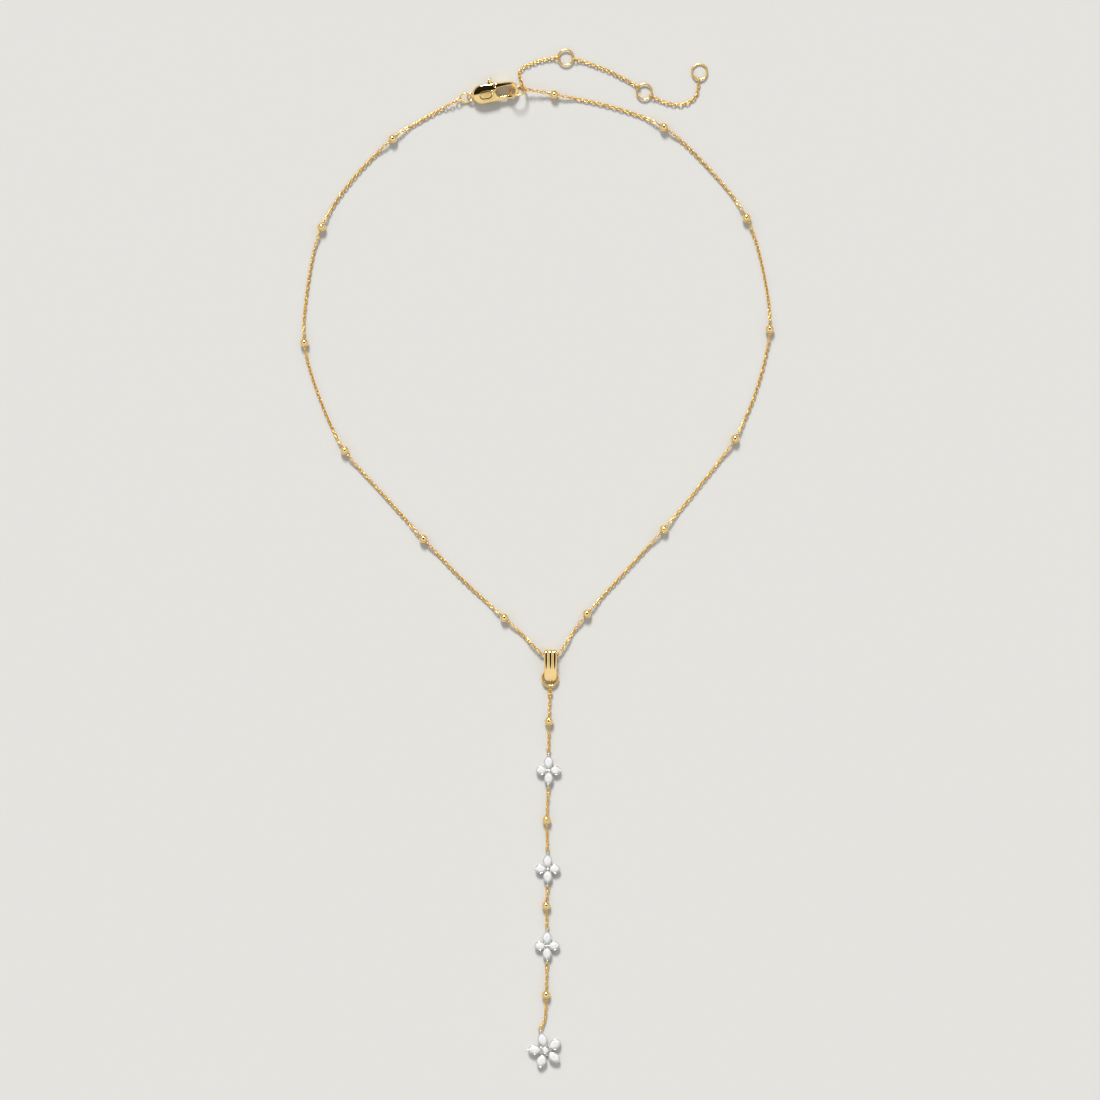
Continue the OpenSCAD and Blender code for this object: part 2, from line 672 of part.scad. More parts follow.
module clasp_body() {
    color("gold")
    at_clasp()
    difference() {
        union() {
            intersection() {
                linear_extrude(clasp_t) clasp_outline();
                translate([spine_u, 20, clasp_z])
                rotate([90, 0, 0])
                linear_extrude(40)
                lens(spine_r, clasp_t / 2, 30);
                translate([-20, 0, clasp_z])
                rotate([90, 0, 90])
                linear_extrude(40)
                lens(lens_r, clasp_t / 2, 30);
            }
            translate([eye_u, 0, eye_z]) wire_ring(eye_r, tail_eye_wire);
        }
        translate([0, 0, -1]) linear_extrude(clasp_t + 2) claw_opening();
        // The gate's place in the claw
        translate([0, 0, -1])
        linear_extrude(clasp_t + 2)
        intersection() {
            translate(pivot) circle(r = lever_reach + lever_gap);
            polygon([[gate_u - lever_gap, 0], [gate_u - lever_gap, -9], [9, -9], [9, 0]]);
        }
        translate([0, 0, clasp_z - lever_t / 2 - lever_gap])
        linear_extrude(lever_t + 2 * lever_gap)
        lever_slot();
        translate(concat(pivot, -1)) cylinder(d = pin_d + 2 * pin_fit, h = clasp_t + 2);
        // The plaque's flat
        translate(concat(PLAQUE, clasp_t - plaque_cut - 0.1))
        linear_extrude(2)
        bar_2d([(plaque_w - plaque_l) / 2, 0], plaque_w / 2, [(plaque_l - plaque_w) / 2, 0], plaque_w / 2);
        // The notch beside the tab's root, through the upper cheek
        translate([0, 0, clasp_z])
        linear_extrude(clasp_t)
        polygon([tab_point(0) + [0.2, -0.8], tab_point(0) + [0.45, -0.75], tab_point(0) + [0.2, 2],
            tab_point(0) + [-0.15, 2]]);
    }
}
pin_fit = 0.02;

module clasp_lever() {
    color("gold")
    at_clasp()
    difference() {
        translate([0, 0, clasp_z - lever_t / 2]) linear_extrude(lever_t) lever_outline();
        translate(concat(pivot, -1)) cylinder(d = pin_d + 2 * pin_play, h = clasp_t + 2);
    }
}

module clasp_pin() {
    color("gold")
    at_clasp()
    translate(concat(pivot, 0.08))
    cylinder(d = pin_d, h = clasp_t - 0.16);
}

// Outline of a petal grown by g: the space that two equal circles share
module marquise(len, width, g = 0) {
    r = (pow(len / 2, 2) + pow(width / 2, 2)) / width;
    intersection() {
        translate([0, width / 2 - r]) circle(r = r + g, $fn = 120);
        translate([0, r - width / 2]) circle(r = r + g, $fn = 120);
    }
}

module at_petal(i, j) {
    p = petal(i, j);
    translate(concat(FLOWERS[i - 1], 0))
    rotate([0, 0, petal_turn(i, j)])
    translate([p[2] + p[0] / 2, 0])
    children();
}

module flower_loop(at, turn) {
    translate(concat(at, loop_z))
    rotate([0, 0, turn])
    rotate([90, 0, 0])
    wire_ring(loop_r, loop_wire);
}

module flower_setting(i) {
    color("silver")
    difference() {
        union() {
            for (j = [1 : petal_count(i)])
                at_petal(i, j) linear_extrude(cup_h) marquise(petal(i, j)[0], petal(i, j)[1]);
            if (is_end(i)) {
                flower_loop(loop_mid(i, 1), END_TURN);
                translate(concat(FLOWERS[i - 1], 0)) cylinder(r = end_in + 0.9, h = cup_floor);
                translate(concat(FLOWERS[i - 1], 0)) cylinder(d = centre_d, h = cup_h);
            } else {
                flower_loop(loop_mid(i, 1), 90);
                flower_loop(loop_mid(i, -1), 90);
                translate(concat(FLOWERS[i - 1], 0)) cylinder(r = 1.3, h = cup_floor);
                translate(concat(FLOWERS[i - 1], 0)) cylinder(d = ball_d - 0.2, h = cup_h);
                translate(concat(FLOWERS[i - 1], cup_h)) sphere(d = ball_d);
            }
        }
        for (j = [1 : petal_count(i)])
            at_petal(i, j)
            translate([0, 0, cup_floor])
            linear_extrude(cup_h)
            marquise(petal(i, j)[0], petal(i, j)[1], -cup_wall);
        if (is_end(i))
            translate(concat(FLOWERS[i - 1], cup_floor))
            cylinder(d = centre_d - 2 * cup_wall, h = cup_h);
    }
}

// Cut stone over an outline of points: table, crown, band and keel
module stone(outline, keel) {
    n = len(outline);
    function level(k, z) = [for (p = outline) [p[0] * k, p[1] * k, z]];
    function band(a, b) = [for (i = [0 : n - 1]) let (j = (i + 1) % n)
        for (f = [[a + i, b + j, b + i], [a + i, a + j, b + j]]) f];
    polyhedron(
        points = concat(
            level(0.6, crown_h),
            level(1, 0),
            level(1, -girdle_h),
            level(0.12, -girdle_h - keel)
        ),
        faces = concat(
            [[for (i = [n - 1 : -1 : 0]) i]],
            band(0, n),
            band(n, 2 * n),
            band(2 * n, 3 * n),
            [[for (i = [0 : n - 1]) 3 * n + i]]
        )
    );
}

function marquise_points(len, width, g) =
    let (
        r = (pow(len / 2, 2) + pow(width / 2, 2)) / width,
        d = r - width / 2,
        tip = acos(d / (r + g)),
        half = STONE_SIDES / 2
    )
    [for (k = [0 : STONE_SIDES - 1])
        let (q = tip * (1 - 2 * (k % half) / half), s = k < half ? 1 : -1)
        [s * (r + g) * sin(q), s * ((r + g) * cos(q) - d)]];

function stone_name(i, j) = str("petal_stone_", i, "_", j);
stone_z = cup_h;

module petal_stone(i, j) {
    color("white", 0.6)
    at_petal(i, j)
    translate([0, 0, stone_z])
    stone(marquise_points(petal(i, j)[0], petal(i, j)[1], -cup_wall - stone_gap), keel_h);
}

module centre_stone() {
    r = centre_d / 2 - cup_wall - stone_gap;
    color("white", 0.6)
    translate(concat(FLOWERS[FLOWER_COUNT - 1], stone_z))
    stone([for (k = [0 : STONE_SIDES - 1]) let (q = k * 360 / STONE_SIDES)
        [r * cos(q), r * sin(q)]], keel_h);
}

neck_chain();
extender_chain();
drop_chain();
for (i = [1 : len(NECK_BEADS)])
    neck_bead(i);
for (i = [1 : len(DROP_BEADS)])
    drop_bead(i);
clasp_body();
clasp_lever();
clasp_pin();
clasp_tail_ring();
connector_ring();
for (i = [1 : 3])
    extender_ring(i);
bail();
bail_ring();
for (i = [1 : FLOWER_COUNT])
    flower_setting(i);
for (i = [1 : FLOWER_COUNT])
    for (j = [1 : petal_count(i)])
        petal_stone(i, j);
centre_stone();
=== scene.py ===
"""Lariat necklace laid flat and seen from straight above.

Satellite chain with a lobster clasp and an extender, a ribbed bail on the chain, and a drop of four
stone flowers. Places are worked out in millimetres and every mesh is written in metres.
"""

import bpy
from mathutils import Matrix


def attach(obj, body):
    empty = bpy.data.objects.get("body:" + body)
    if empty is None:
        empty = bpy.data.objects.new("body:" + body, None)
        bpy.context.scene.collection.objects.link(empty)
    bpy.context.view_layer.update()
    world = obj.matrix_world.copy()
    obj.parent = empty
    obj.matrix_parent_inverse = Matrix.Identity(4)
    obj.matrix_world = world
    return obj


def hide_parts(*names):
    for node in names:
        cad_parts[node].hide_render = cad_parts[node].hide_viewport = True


bl_info = {
    "name": "Lariat Necklace",
    "version": (1, 0, 0),
    "blender": (4, 5, 0),
    "location": "View3D > Sidebar > Necklace",
    "description": "Builds a lariat necklace around its solid frame: chains, beads, clasp, bail and flowers",
    "category": "Object",
}

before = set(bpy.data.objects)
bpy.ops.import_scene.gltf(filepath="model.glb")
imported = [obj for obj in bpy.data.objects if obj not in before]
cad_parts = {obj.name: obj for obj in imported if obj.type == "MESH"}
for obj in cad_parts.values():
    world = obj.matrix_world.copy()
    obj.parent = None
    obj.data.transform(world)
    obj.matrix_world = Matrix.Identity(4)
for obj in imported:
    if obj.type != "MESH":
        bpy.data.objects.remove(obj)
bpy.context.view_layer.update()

import math

import bmesh
import bpy
import numpy as np
from bpy.props import FloatProperty, FloatVectorProperty, PointerProperty

MM = 0.001
UP = np.array([0.0, 0.0, 1.0])
MID = np.array([0.0, -0.55, 0.0])
BODY = "necklace"

# Course of the neck chain: [x, y, has a bead], before MID is added
NECK_ROUTE = np.array([
    [-21.5, 119, 0], [-29, 115, 0], [-37.5, 109.5, 1], [-48, 99, 0], [-56, 86.5, 1],
    [-59.5, 72, 0], [-60.5, 56.5, 1], [-56.5, 42, 0], [-50, 28.5, 1], [-40, 17, 0],
    [-29.5, 5.5, 1], [-19.5, -5, 0], [-8.5, -15, 1], [-3, -20.2, 0], [0.6, -23.8, 0],
    [2, -24.8, 0], [3.5, -25.2, 0], [5.1, -24.9, 0], [6.3, -23.6, 0], [9.3, -19, 0],
    [13, -14, 1], [23, -3, 0], [33, 8, 1], [42.5, 19.5, 0], [51.5, 31.5, 1],
    [57.5, 45.5, 0], [60.5, 60, 1], [59, 74.5, 0], [54.5, 89, 1], [45, 101.5, 0],
    [33, 112.5, 1], [19, 118, 0], [4.5, 121, 1], [1.3, 121.6, 0], [-1.5, 122.1, 0],
])
# Points of the course between which the chain rises through the bail
BAIL_FROM, BAIL_TO = 13, 19
# Greatest twist of each stretch of the neck chain between two beads, in degrees
TWISTS = (0, 34, -40, 45, -30, 42, 30, -38, 44, -36, 40, -45, 32, 0)
RING_MIDDLES = np.array([[7.5, 130.7], [27.9, 121.8], [42.3, 127]])
EXTENDER_1 = [[-4.05, 124.4], [-4.6, 125.7], [-4.6, 126.9], [-3.9, 127.8], [-2.2, 128.8], [1, 129.9]]
EXTENDER_2 = [[12.5, 129.5], [15.3, 128.5], [18.5, 127.3], [21.6, 125.7], [24.6, 124.1]]
EXTENDER_3 = [[32.5, 119.3], [34.5, 118.7], [36.3, 118.4], [38.4, 118.6], [40.3, 119.6],
              [41.5, 121], [41.9, 122.5]]
RING_1_LEFT, RING_1_RIGHT, RING_2_LEFT, RING_2_RIGHT, RING_3_LOW = 178, -12, 139, -33, -95
DROP_BEADS = np.array([[3.1, -41.9], [2.5, -67.6], [2.4, -89.8], [2.35, -113]])
FLOWERS = np.array([[3, -54.7], [2.75, -80.3], [2.6, -100.3], [2.2, -127.5]])
DROP_LOW = [2, -119.6, 0.7]
BAIL_EDGE = (3.5, -23.75)
BAIL_RING_MIDDLE = np.array([3.4, -30.75, 0.95])
CLASP_AT = np.array([-10.92, 121.42, 0.0]) + MID
CLASP_TURN = 10
END_TURN = 105
END_PETALS = 5

# Sizes of the solid frame that the pieces fit, in millimetres
LINK_WIRE, LINK_PITCH, LINK_PLAY = 0.22, 0.93, 0.14
EYE_WIRE, EYE_SPAN = 0.28, 1.05
# The links' wire as it is seen is a little thicker than in the frame, and their play is less
SEEN_W, SEEN_WIRE, SEEN_EYE, SEEN_PLAY = 0.88, 0.27, 0.3, 0.03
BEAD_D, BEAD_BORE = 2.3, 1.2
RING_D, CONNECTOR_D, TAIL_RING_D, BAIL_RING_D = 4.5, 4.8, 3.3, 4.6
RING_WIRE, TAIL_RING_WIRE, BAIL_RING_WIRE = 0.5, 0.42, 0.6
BAIL_W, BAIL_LEN, BAIL_TOP_H, BAIL_LOW_H, BAIL_BOW = 3.3, 8.5, 2.4, 1.8, 14.0
BAIL_WALL, RIB_H, RIB_COUNT, BAIL_CORNER = 0.3, 0.15, 3, 1.4
CLASP_LEN, CLASP_T, TAIL_R, NOSE_R, HOOK_WALL, CLAW_LEN = 12.1, 2.9, 2.5, 2.2, 0.95, 5.1
NOSE_U, SPINE_U, SPINE_R, LENS_R = 6.2, -1.6, 28.0, 4.6
LEVER_T, LEVER_GAP, LEVER_DISC_R, LEVER_OPEN, GATE_U = 0.9, 0.08, 0.75, 18, 0.75
TAB_H, TAB_W, TAB_LEAN = 1.7, 1.6, -12
PIVOT = np.array([-0.55, 0.3])
PIN_D, PIN_FIT, PIN_PLAY = 0.8, 0.02, 0.05
PLAQUE, PLAQUE_L, PLAQUE_W = np.array([-2.45, -0.25]), 3.0, 1.75
PETAL_LEN, SIDE_PETAL_LEN, PETAL_W = 3.4, 2.9, 2.4
END_PETAL_LEN, END_PETAL_W, CENTRE_D = 3.5, 2.55, 1.9
CUP_WALL, CUP_H, CUP_FLOOR = 0.18, 1.5, 0.4
LOOP_WIRE, LOOP_D, BALL_D = 0.3, 1.3, 0.8
EYE_D, TAIL_EYE_WIRE, EYE_Z = 2.3, 0.5, 1.2

# Heights above the table, and the radii that follow from the sizes
SEEN_Z = SEEN_W / 2 + 0.03
LOOP_Z = LOOP_D / 2 + 0.05
LOOP_R = (LOOP_D - LOOP_WIRE) / 2
BEAD_Z = BEAD_D / 2
BEAD_HALF = math.sqrt((BEAD_D / 2) ** 2 - (BEAD_BORE / 2) ** 2)
BEAD_JOINT = BEAD_HALF + LINK_PLAY + LINK_WIRE + LINK_PLAY / 2
MOUTH = 0.86
RING_R = (RING_D - RING_WIRE) / 2
RING_Z = (RING_WIRE + 2 * EYE_WIRE + 2 * LINK_PLAY) / 2 + 0.02
BAIL_RING_R = (BAIL_RING_D - BAIL_RING_WIRE) / 2
TAIL_RING_R = (TAIL_RING_D - TAIL_RING_WIRE) / 2
TAIL_RING_ROLL = 40
EYE_R = (EYE_D - TAIL_EYE_WIRE) / 2
EYE_U = NOSE_U - CLASP_LEN - EYE_R + 0.45
TAIL_RING_U = EYE_U - TAIL_RING_R
CONNECTOR_R = (CONNECTOR_D - RING_WIRE) / 2
CONNECTOR_TILT, CONNECTOR_TOP = 54, 51
CONNECTOR_UV = (5.95, -0.6)
STATION_IN, SIDE_IN = 0.35, 0.4
STATION_TIP = STATION_IN + PETAL_LEN
END_IN = CENTRE_D / 2 + 0.2
END_TIP = END_IN + END_PETAL_LEN

HELD = {"joint": 0.0, "ring": RING_WIRE, "loop": LOOP_WIRE, "tail": TAIL_RING_WIRE, "hang": BAIL_RING_WIRE}

# Clasp in its own frame: the two ends of its body, of its claw, and where its lever reaches
TAIL_END, NOSE = (NOSE_U - CLASP_LEN + TAIL_R, 0.15), (NOSE_U - NOSE_R, 0.0)
CLAW_R = NOSE_R - HOOK_WALL
CLAW = (NOSE[0], -0.05)
CLAW_END = (CLAW[0] + CLAW_R - CLAW_LEN + CLAW_R - 0.15, CLAW[1])
LEVER_REACH = math.hypot(2.7 - PIVOT[0], 0.3 - NOSE_R - PIVOT[1])
TAB = np.array([-0.85, TAIL_R - 0.13])
# Roundings of the body's edges: above, below, in the claw, at the gate and at the lever's slot
TOP_EDGE, LOW_EDGE, CLAW_EDGE, GATE_EDGE, SLOT_EDGE = 0.4, 0.3, 0.22, 0.1, 0.2


# Vectors and paths

def unit(v):
    """The vector, or each row of vectors, divided by its length."""
    v = np.asarray(v, float)
    return v / np.linalg.norm(v, axis=-1, keepdims=True)


def turned(p, degrees):
    """The first two coordinates turned about the origin by the angle; a third one stays."""
    p = np.asarray(p, float)
    a = math.radians(degrees)
    out = p.copy()
    out[..., 0] = p[..., 0] * math.cos(a) - p[..., 1] * math.sin(a)
    out[..., 1] = p[..., 0] * math.sin(a) + p[..., 1] * math.cos(a)
    return out


def flat(points, z):
    """Plan points of the layout moved to the middle of the box, all at one height."""
    p = np.atleast_2d(np.asarray(points, float))
    return np.column_stack([p[:, 0], p[:, 1], np.full(len(p), z)]) + MID


def clasp_point(u, v, z=0.0):
    """Point of the clasp's own frame: turned by the clasp's angle and moved to its middle."""
    return turned(np.array([u, v, z], float), CLASP_TURN) + CLASP_AT


def side_of(t):
    """Level direction square to each direction t: up crossed with t, made a unit."""
    return unit(np.cross(np.broadcast_to(UP, np.shape(t)), t))


def spline(points, steps=8):
    """Catmull-Rom curve: each span is the cubic through its two points whose slopes are half the
    difference of their neighbours, sampled at equal steps of its parameter."""
    p = np.asarray(points, float)
    i = np.arange(len(p) - 1)
    a, b, c, d = (p[k][:, None, :] for k in (np.maximum(i - 1, 0), i, i + 1, np.minimum(i + 2, len(p) - 1)))
    t = (np.arange(steps) / steps)[None, :, None]
    body = (2 * b + (c - a) * t + (2 * a - 5 * b + 4 * c - d) * t ** 2 + (3 * b - a - 3 * c + d) * t ** 3) / 2
    return np.vstack([body.reshape(-1, p.shape[1]), p[-1:]])


def run_of(path):
    """Length along the path up to each of its points."""
    return np.concatenate([[0], np.cumsum(np.linalg.norm(np.diff(path, axis=0), axis=1))])


def along(path, s):
    """Points of the path at the lengths s, straight between its own points."""
    run = run_of(path)
    return np.column_stack([np.interp(s, run, path[:, k]) for k in range(path.shape[1])])


def smooth(t):
    """Smooth step from 0 to 1: 3 t squared minus 2 t cubed, held at its ends."""
    t = np.clip(t, 0, 1)
    return t * t * (3 - 2 * t)


# Meshes

def grid_faces(rows, cols, wrap_rows=False):
    """Four-sided faces of a grid of rows by cols points: each row closes on itself, and so do the
    columns where asked."""
    r = np.arange(rows if wrap_rows else rows - 1)[:, None]
    c = np.arange(cols)[None, :]
    r2, c2 = (r + 1) % rows, (c + 1) % cols
    return np.stack([r * cols + c, r * cols + c2, r2 * cols + c2, r2 * cols + c], axis=-1).reshape(-1, 4)


def shell(points, faces):
    """A closed shell: its points and its list of faces."""
    return np.asarray(points, float).reshape(-1, 3), [tuple(int(v) for v in f) for f in faces]


def grid_shell(grid, wrap_rows=False, caps=False):
    """A shell from a grid of points, with a fan over the first and the last row where asked."""
    rows, cols = grid.shape[:2]
    points = grid.reshape(-1, 3)
    faces = grid_faces(rows, cols, wrap_rows).tolist()
    if caps:
        n = len(points)
        points = np.vstack([points, grid[0].mean(axis=0), grid[-1].mean(axis=0)])
        k = np.arange(cols)
        k2 = (k + 1) % cols
        first = np.column_stack([np.full(cols, n), k2, k])
        last = np.column_stack([np.full(cols, n + 1), (rows - 1) * cols + k, (rows - 1) * cols + k2])
        faces += first.tolist() + last.tolist()
    return shell(points, faces)


def joined(shells):
    """Several shells as one list of points and faces."""
    points, faces, start = [], [], 0
    for p, f in shells:
        points.append(p)
        faces += [tuple(v + start for v in face) for face in f]
        start += len(p)
    return np.vstack(points), faces


def outwards(mesh):
    """Turns the faces so that the signed volume under them is positive for each closed shell."""
    edit = bmesh.new()
    edit.from_mesh(mesh)
    bmesh.ops.recalc_face_normals(edit, faces=edit.faces)
    edit.to_mesh(mesh)
    edit.free()


def placed(name, data):
    """A new object with this data, linked into the scene."""
    made = bpy.data.objects.new(name, data)
    bpy.context.scene.collection.objects.link(made)
    return made


def write_painted_shade(mesh, values):
    """Writes one number a point as the attribute that the gold's shader reads as painted shade."""
    mesh.attributes.new("tone", "FLOAT", "POINT").data.foreach_set("value", values)


def make_piece(name, shells, material, nodes, smooth_faces=True, body=BODY, recalc=True):
    """A mesh object from shells in millimetres, which rides on a body and stands for CAD nodes."""
    points, faces = joined(shells)
    mesh = bpy.data.meshes.new(name)
    mesh.from_pydata((points * MM).tolist(), [], faces)
    mesh.update()
    if recalc:
        outwards(mesh)
    if smooth_faces:
        mesh.shade_smooth()
    else:
        mesh.shade_flat()
    mesh.materials.append(material)
    piece = placed(name, mesh)
    settle(piece, nodes, body)
    return piece


def settle(piece, nodes, body=BODY):
    """Rides the piece on its body and hides the CAD nodes that it stands for."""
    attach(piece, body)
    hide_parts(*nodes)


def torus(middle, u, v, radius, wire, around=72, sides=18):
    """Ring about a middle in the plane of u and v: the middle, plus the radius along the direction
    at each angle, plus the wire's own circle of that direction and the plane's normal."""
    q = np.arange(around) * 2 * np.pi / around
    w = np.arange(sides) * 2 * np.pi / sides
    out = np.cos(q)[:, None] * u + np.sin(q)[:, None] * v
    n = np.cross(u, v)
    r = wire / 2
    grid = (np.asarray(middle) + radius * out)[:, None, :] \
        + r * np.cos(w)[None, :, None] * out[:, None, :] + r * np.sin(w)[None, :, None] * n
    return grid_shell(grid, wrap_rows=True)


def lathe(profile, middle, axis, sides=48):
    """Profile of [radius, height] carried round an axis through the middle: the middle, plus the
    radius along the direction at each angle, plus the height along the axis."""
    profile = np.asarray(profile, float)
    axis = unit(axis)
    helper = UP if abs(axis[2]) < 0.9 else np.array([1.0, 0, 0])
    a = unit(np.cross(helper, axis))
    b = np.cross(axis, a)
    q = np.arange(sides) * 2 * np.pi / sides
    ring = np.cos(q)[:, None] * a + np.sin(q)[:, None] * b
    radius, height = profile.T[:, :, None, None]
    return np.asarray(middle) + radius * ring + height * axis


# Chains

def reach(kind, wire):
    """How far a link goes past its joint: half of what it holds, half its own wire and the play."""
    return (wire + SEEN_PLAY) / 2 if kind == "joint" else HELD[kind] / 2 + wire / 2 + SEEN_PLAY


def eye_w(kind):
    """Width of a larger link: what it holds, two wires and twice the play."""
    return max(SEEN_W, HELD[kind] + 2 * SEEN_EYE + 0.2)


def half_turn(a):
    """The angle brought between -90 and 90 degrees by half turns."""
    b = a % 180
    return b - 180 if b > 90 else b


def stretch(path, first, last, roll_a, roll_b, twist=0.0):
    """Links along a path from joint to joint: [first joint, second joint, reach past each, width,
    wire, roll]. Each is rolled a quarter turn from the one before, with the same small drift; the
    twist is added as a sine that is nought at both ends."""
    total = run_of(path)[-1]
    a = 0 if first == "joint" else EYE_SPAN
    b = 0 if last == "joint" else EYE_SPAN
    n = max(1, round((total - a - b) / LINK_PITCH))
    s = np.concatenate([[] if first == "joint" else [0], a + (total - a - b) * np.arange(n + 1) / n,
                        [] if last == "joint" else [total]])
    at = along(path, s)
    m = len(s) - 1
    drift = half_turn(roll_b - roll_a - 90 * (m - 1)) / max(1, m - 1)
    rows = []
    for i in range(m):
        kind_a = first if i == 0 else "joint"
        kind_b = last if i == m - 1 else "joint"
        small = kind_a == kind_b == "joint"
        wire = SEEN_WIRE if small else SEEN_EYE
        roll = roll_a + (90 + drift) * i + twist * math.sin(math.pi * i / max(1, m - 1))
        rows.append([*at[i], *at[i + 1], reach(kind_a, wire), reach(kind_b, wire),
                     SEEN_W if small else max(eye_w(kind_a), eye_w(kind_b)), wire, roll])
    return rows


def link_shells(rows, around, sides):
    """Shells of links, worked out all at once. A link's wire runs round two half circles joined by
    straight sides: its middle line is the link's middle, plus the half length along t by the side
    that it is on, plus the bow times (t cos q + across sin q), and the wire is a circle about it."""
    first, second = rows[:, 0:3], rows[:, 3:6]
    t = unit(second - first)
    a = first - t * rows[:, 6:7]
    b = second + t * rows[:, 7:8]
    side = side_of(t)
    roll = np.radians(rows[:, 10:11])
    across = side * np.cos(roll) + np.cross(t, side) * np.sin(roll)
    face = np.cross(t, across)
    bow = ((rows[:, 8] - rows[:, 9]) / 2)[:, None, None]
    half = np.linalg.norm(b - a, axis=1)[:, None, None] / 2 - bow
    r = rows[:, 9, None, None, None] / 2
    q = (np.arange(around) + 0.5) * 2 * np.pi / around
    w = np.arange(sides) * 2 * np.pi / sides
    out = t[:, None] * np.cos(q)[:, None] + across[:, None] * np.sin(q)[:, None]
    line = ((a + b) / 2)[:, None] + t[:, None] * (np.sign(np.cos(q))[:, None] * half) + out * bow
    grid = line[:, :, None] + out[:, :, None] * (r * np.cos(w)[:, None]) \
        + face[:, None, None] * (r * np.sin(w)[:, None])
    faces = grid_faces(around, sides, wrap_rows=True)
    starts = np.arange(len(rows)) * around * sides
    return shell(grid, (faces[None] + starts[:, None, None]).reshape(-1, 4).tolist())


def link_groups(rows):
    """The chain's own links and the larger ones apart, each with how many points go round a link
    and round its wire."""
    rows = np.asarray(rows, float)
    large = rows[:, 9] > SEEN_WIRE + 1e-6
    return (rows[~large], 14, 5), (rows[large], 24, 8)


def fine_links(rows):
    """Shells of the links, with more faces to the larger ones."""
    return [link_shells(*group) for group in link_groups(rows)]


def link_painted_shade(rows):
    """Painted shade at each point of fine_links: deeper in every other link, and deepest at the
    inside of each link's ends, where its neighbours shade it."""
    tones = []
    for group, around, sides in link_groups(rows):
        q = (np.arange(around) + 0.5) * 2 * np.pi / around
        w = np.arange(sides) * 2 * np.pi / sides
        odd = np.sin(np.radians(group[:, 10, None, None])) ** 2
        end = np.abs(np.cos(q))[:, None] ** 3 * (0.55 - 0.45 * np.cos(w))
        # Painted shade: every other link deeper, the inside of each link's ends deeper still
        tone = 0.05 + 0.5 * odd + 0.55 * end
        tones.append(np.clip(tone, 0, 1).ravel())
    return np.concatenate(tones)


def roll_over(t, w):
    """Roll that sets a link heading along t square to a wire heading along w."""
    s, a = side_of(t), np.cross(w, t)
    return math.degrees(math.atan2(a @ np.cross(t, s), a @ s))


def ring_joint(middle, radius, angle, z=RING_Z):
    """Point on a flat ring at an angle."""
    a = math.radians(angle)
    return np.array([middle[0] + radius * math.cos(a), middle[1] + radius * math.sin(a), z])


def connector_out(q):
    """Direction from the connector ring's middle at an angle round it: its plane is tilted about
    the clasp's long axis."""
    a, tilt = math.radians(q), math.radians(CONNECTOR_TILT)
    out = [math.cos(a), math.sin(a) * math.cos(tilt), -math.sin(a) * math.sin(tilt)]
    return turned(out, CLASP_TURN)


def connector_middle():
    """The connector ring's middle, as high as puts its held point on the extender's height."""
    z = RING_Z + CONNECTOR_R * math.sin(math.radians(CONNECTOR_TOP)) * math.sin(math.radians(CONNECTOR_TILT))
    return clasp_point(*CONNECTOR_UV, z)


def bead_rows(middle, direction):
    """The long link through a bead's bore."""
    r = reach("joint", SEEN_WIRE)
    way = direction * BEAD_JOINT
    return [[*(middle - way), *(middle + way), r, r, MOUTH - 0.1, SEEN_WIRE, 0]]


def neck_beads():
    """Middle and direction of each bead on the neck chain."""
    points = NECK_ROUTE[:, :2]
    at = np.flatnonzero(NECK_ROUTE[:, 2] == 1)
    direction = unit(points[np.minimum(at + 1, len(points) - 1)] - points[np.maximum(at - 1, 0)])
    return flat(points[at], BEAD_Z), np.column_stack([direction, np.zeros(len(at))]), at


def neck_rows():
    """Links of the neck chain: a stretch between each two beads along the route's curve, lying on
    the surface and rising to each bead's bore, and a long link through each bead."""
    steps = 16
    plan = spline(flat(NECK_ROUTE[:, :2], 0.0), steps)
    run = run_of(plan)
    middles, directions, at = neck_beads()
    bead_s = run[at * steps]
    start = clasp_point(TAIL_RING_U - TAIL_RING_R, 0, EYE_Z)
    end = connector_middle() + CONNECTOR_R * connector_out(0)
    s = np.linspace(0, run[-1], 2400)
    # The chain rises by smooth steps: to each bead, through the bail, and to both of its ends
    near = np.abs(s[:, None] - bead_s[None, :]).min(axis=1)
    z = SEEN_Z + (BEAD_Z - SEEN_Z) * (1 - smooth((near - 1.8) / 4.5))
    bail_a, bail_b = run[BAIL_FROM * steps], run[BAIL_TO * steps]
    lift = smooth((s - bail_a) / 2.5) * smooth((bail_b - s) / 2.5)
    z = np.maximum(z, SEEN_Z + (BAIL_TOP_H / 2 - SEEN_Z) * lift)
    z += (start[2] - z[0]) * (1 - smooth(s / 5.0))
    z += (end[2] - 0.3 - z[-1]) * smooth((s - bead_s[-1] - 1.5) / (run[-1] - bead_s[-1] - 1.5))
    line = along(plan, s)
    line[:, 2] = z
    rows = []
    marks = [None, *range(len(at)), None]
    for k in range(len(marks) - 1):
        a, b = marks[k], marks[k + 1]
        head = start if a is None else middles[a] + directions[a] * BEAD_JOINT
        foot = end if b is None else middles[b] - directions[b] * BEAD_JOINT
        lo = 0 if a is None else bead_s[a] + BEAD_JOINT + 0.3
        hi = run[-1] if b is None else bead_s[b] - BEAD_JOINT - 0.3
        path = np.vstack([head, line[(s > lo) & (s < hi)], foot])
        roll_a = 90 - TAIL_RING_ROLL if a is None else 90
        roll_b = roll_over(foot - path[-8], connector_out(90)) if b is None else 90
        rows += stretch(path, "tail" if a is None else "joint", "ring" if b is None else "joint",
                        roll_a, roll_b, TWISTS[k])
        if b is not None:
            rows += bead_rows(middles[b], directions[b])
    return rows


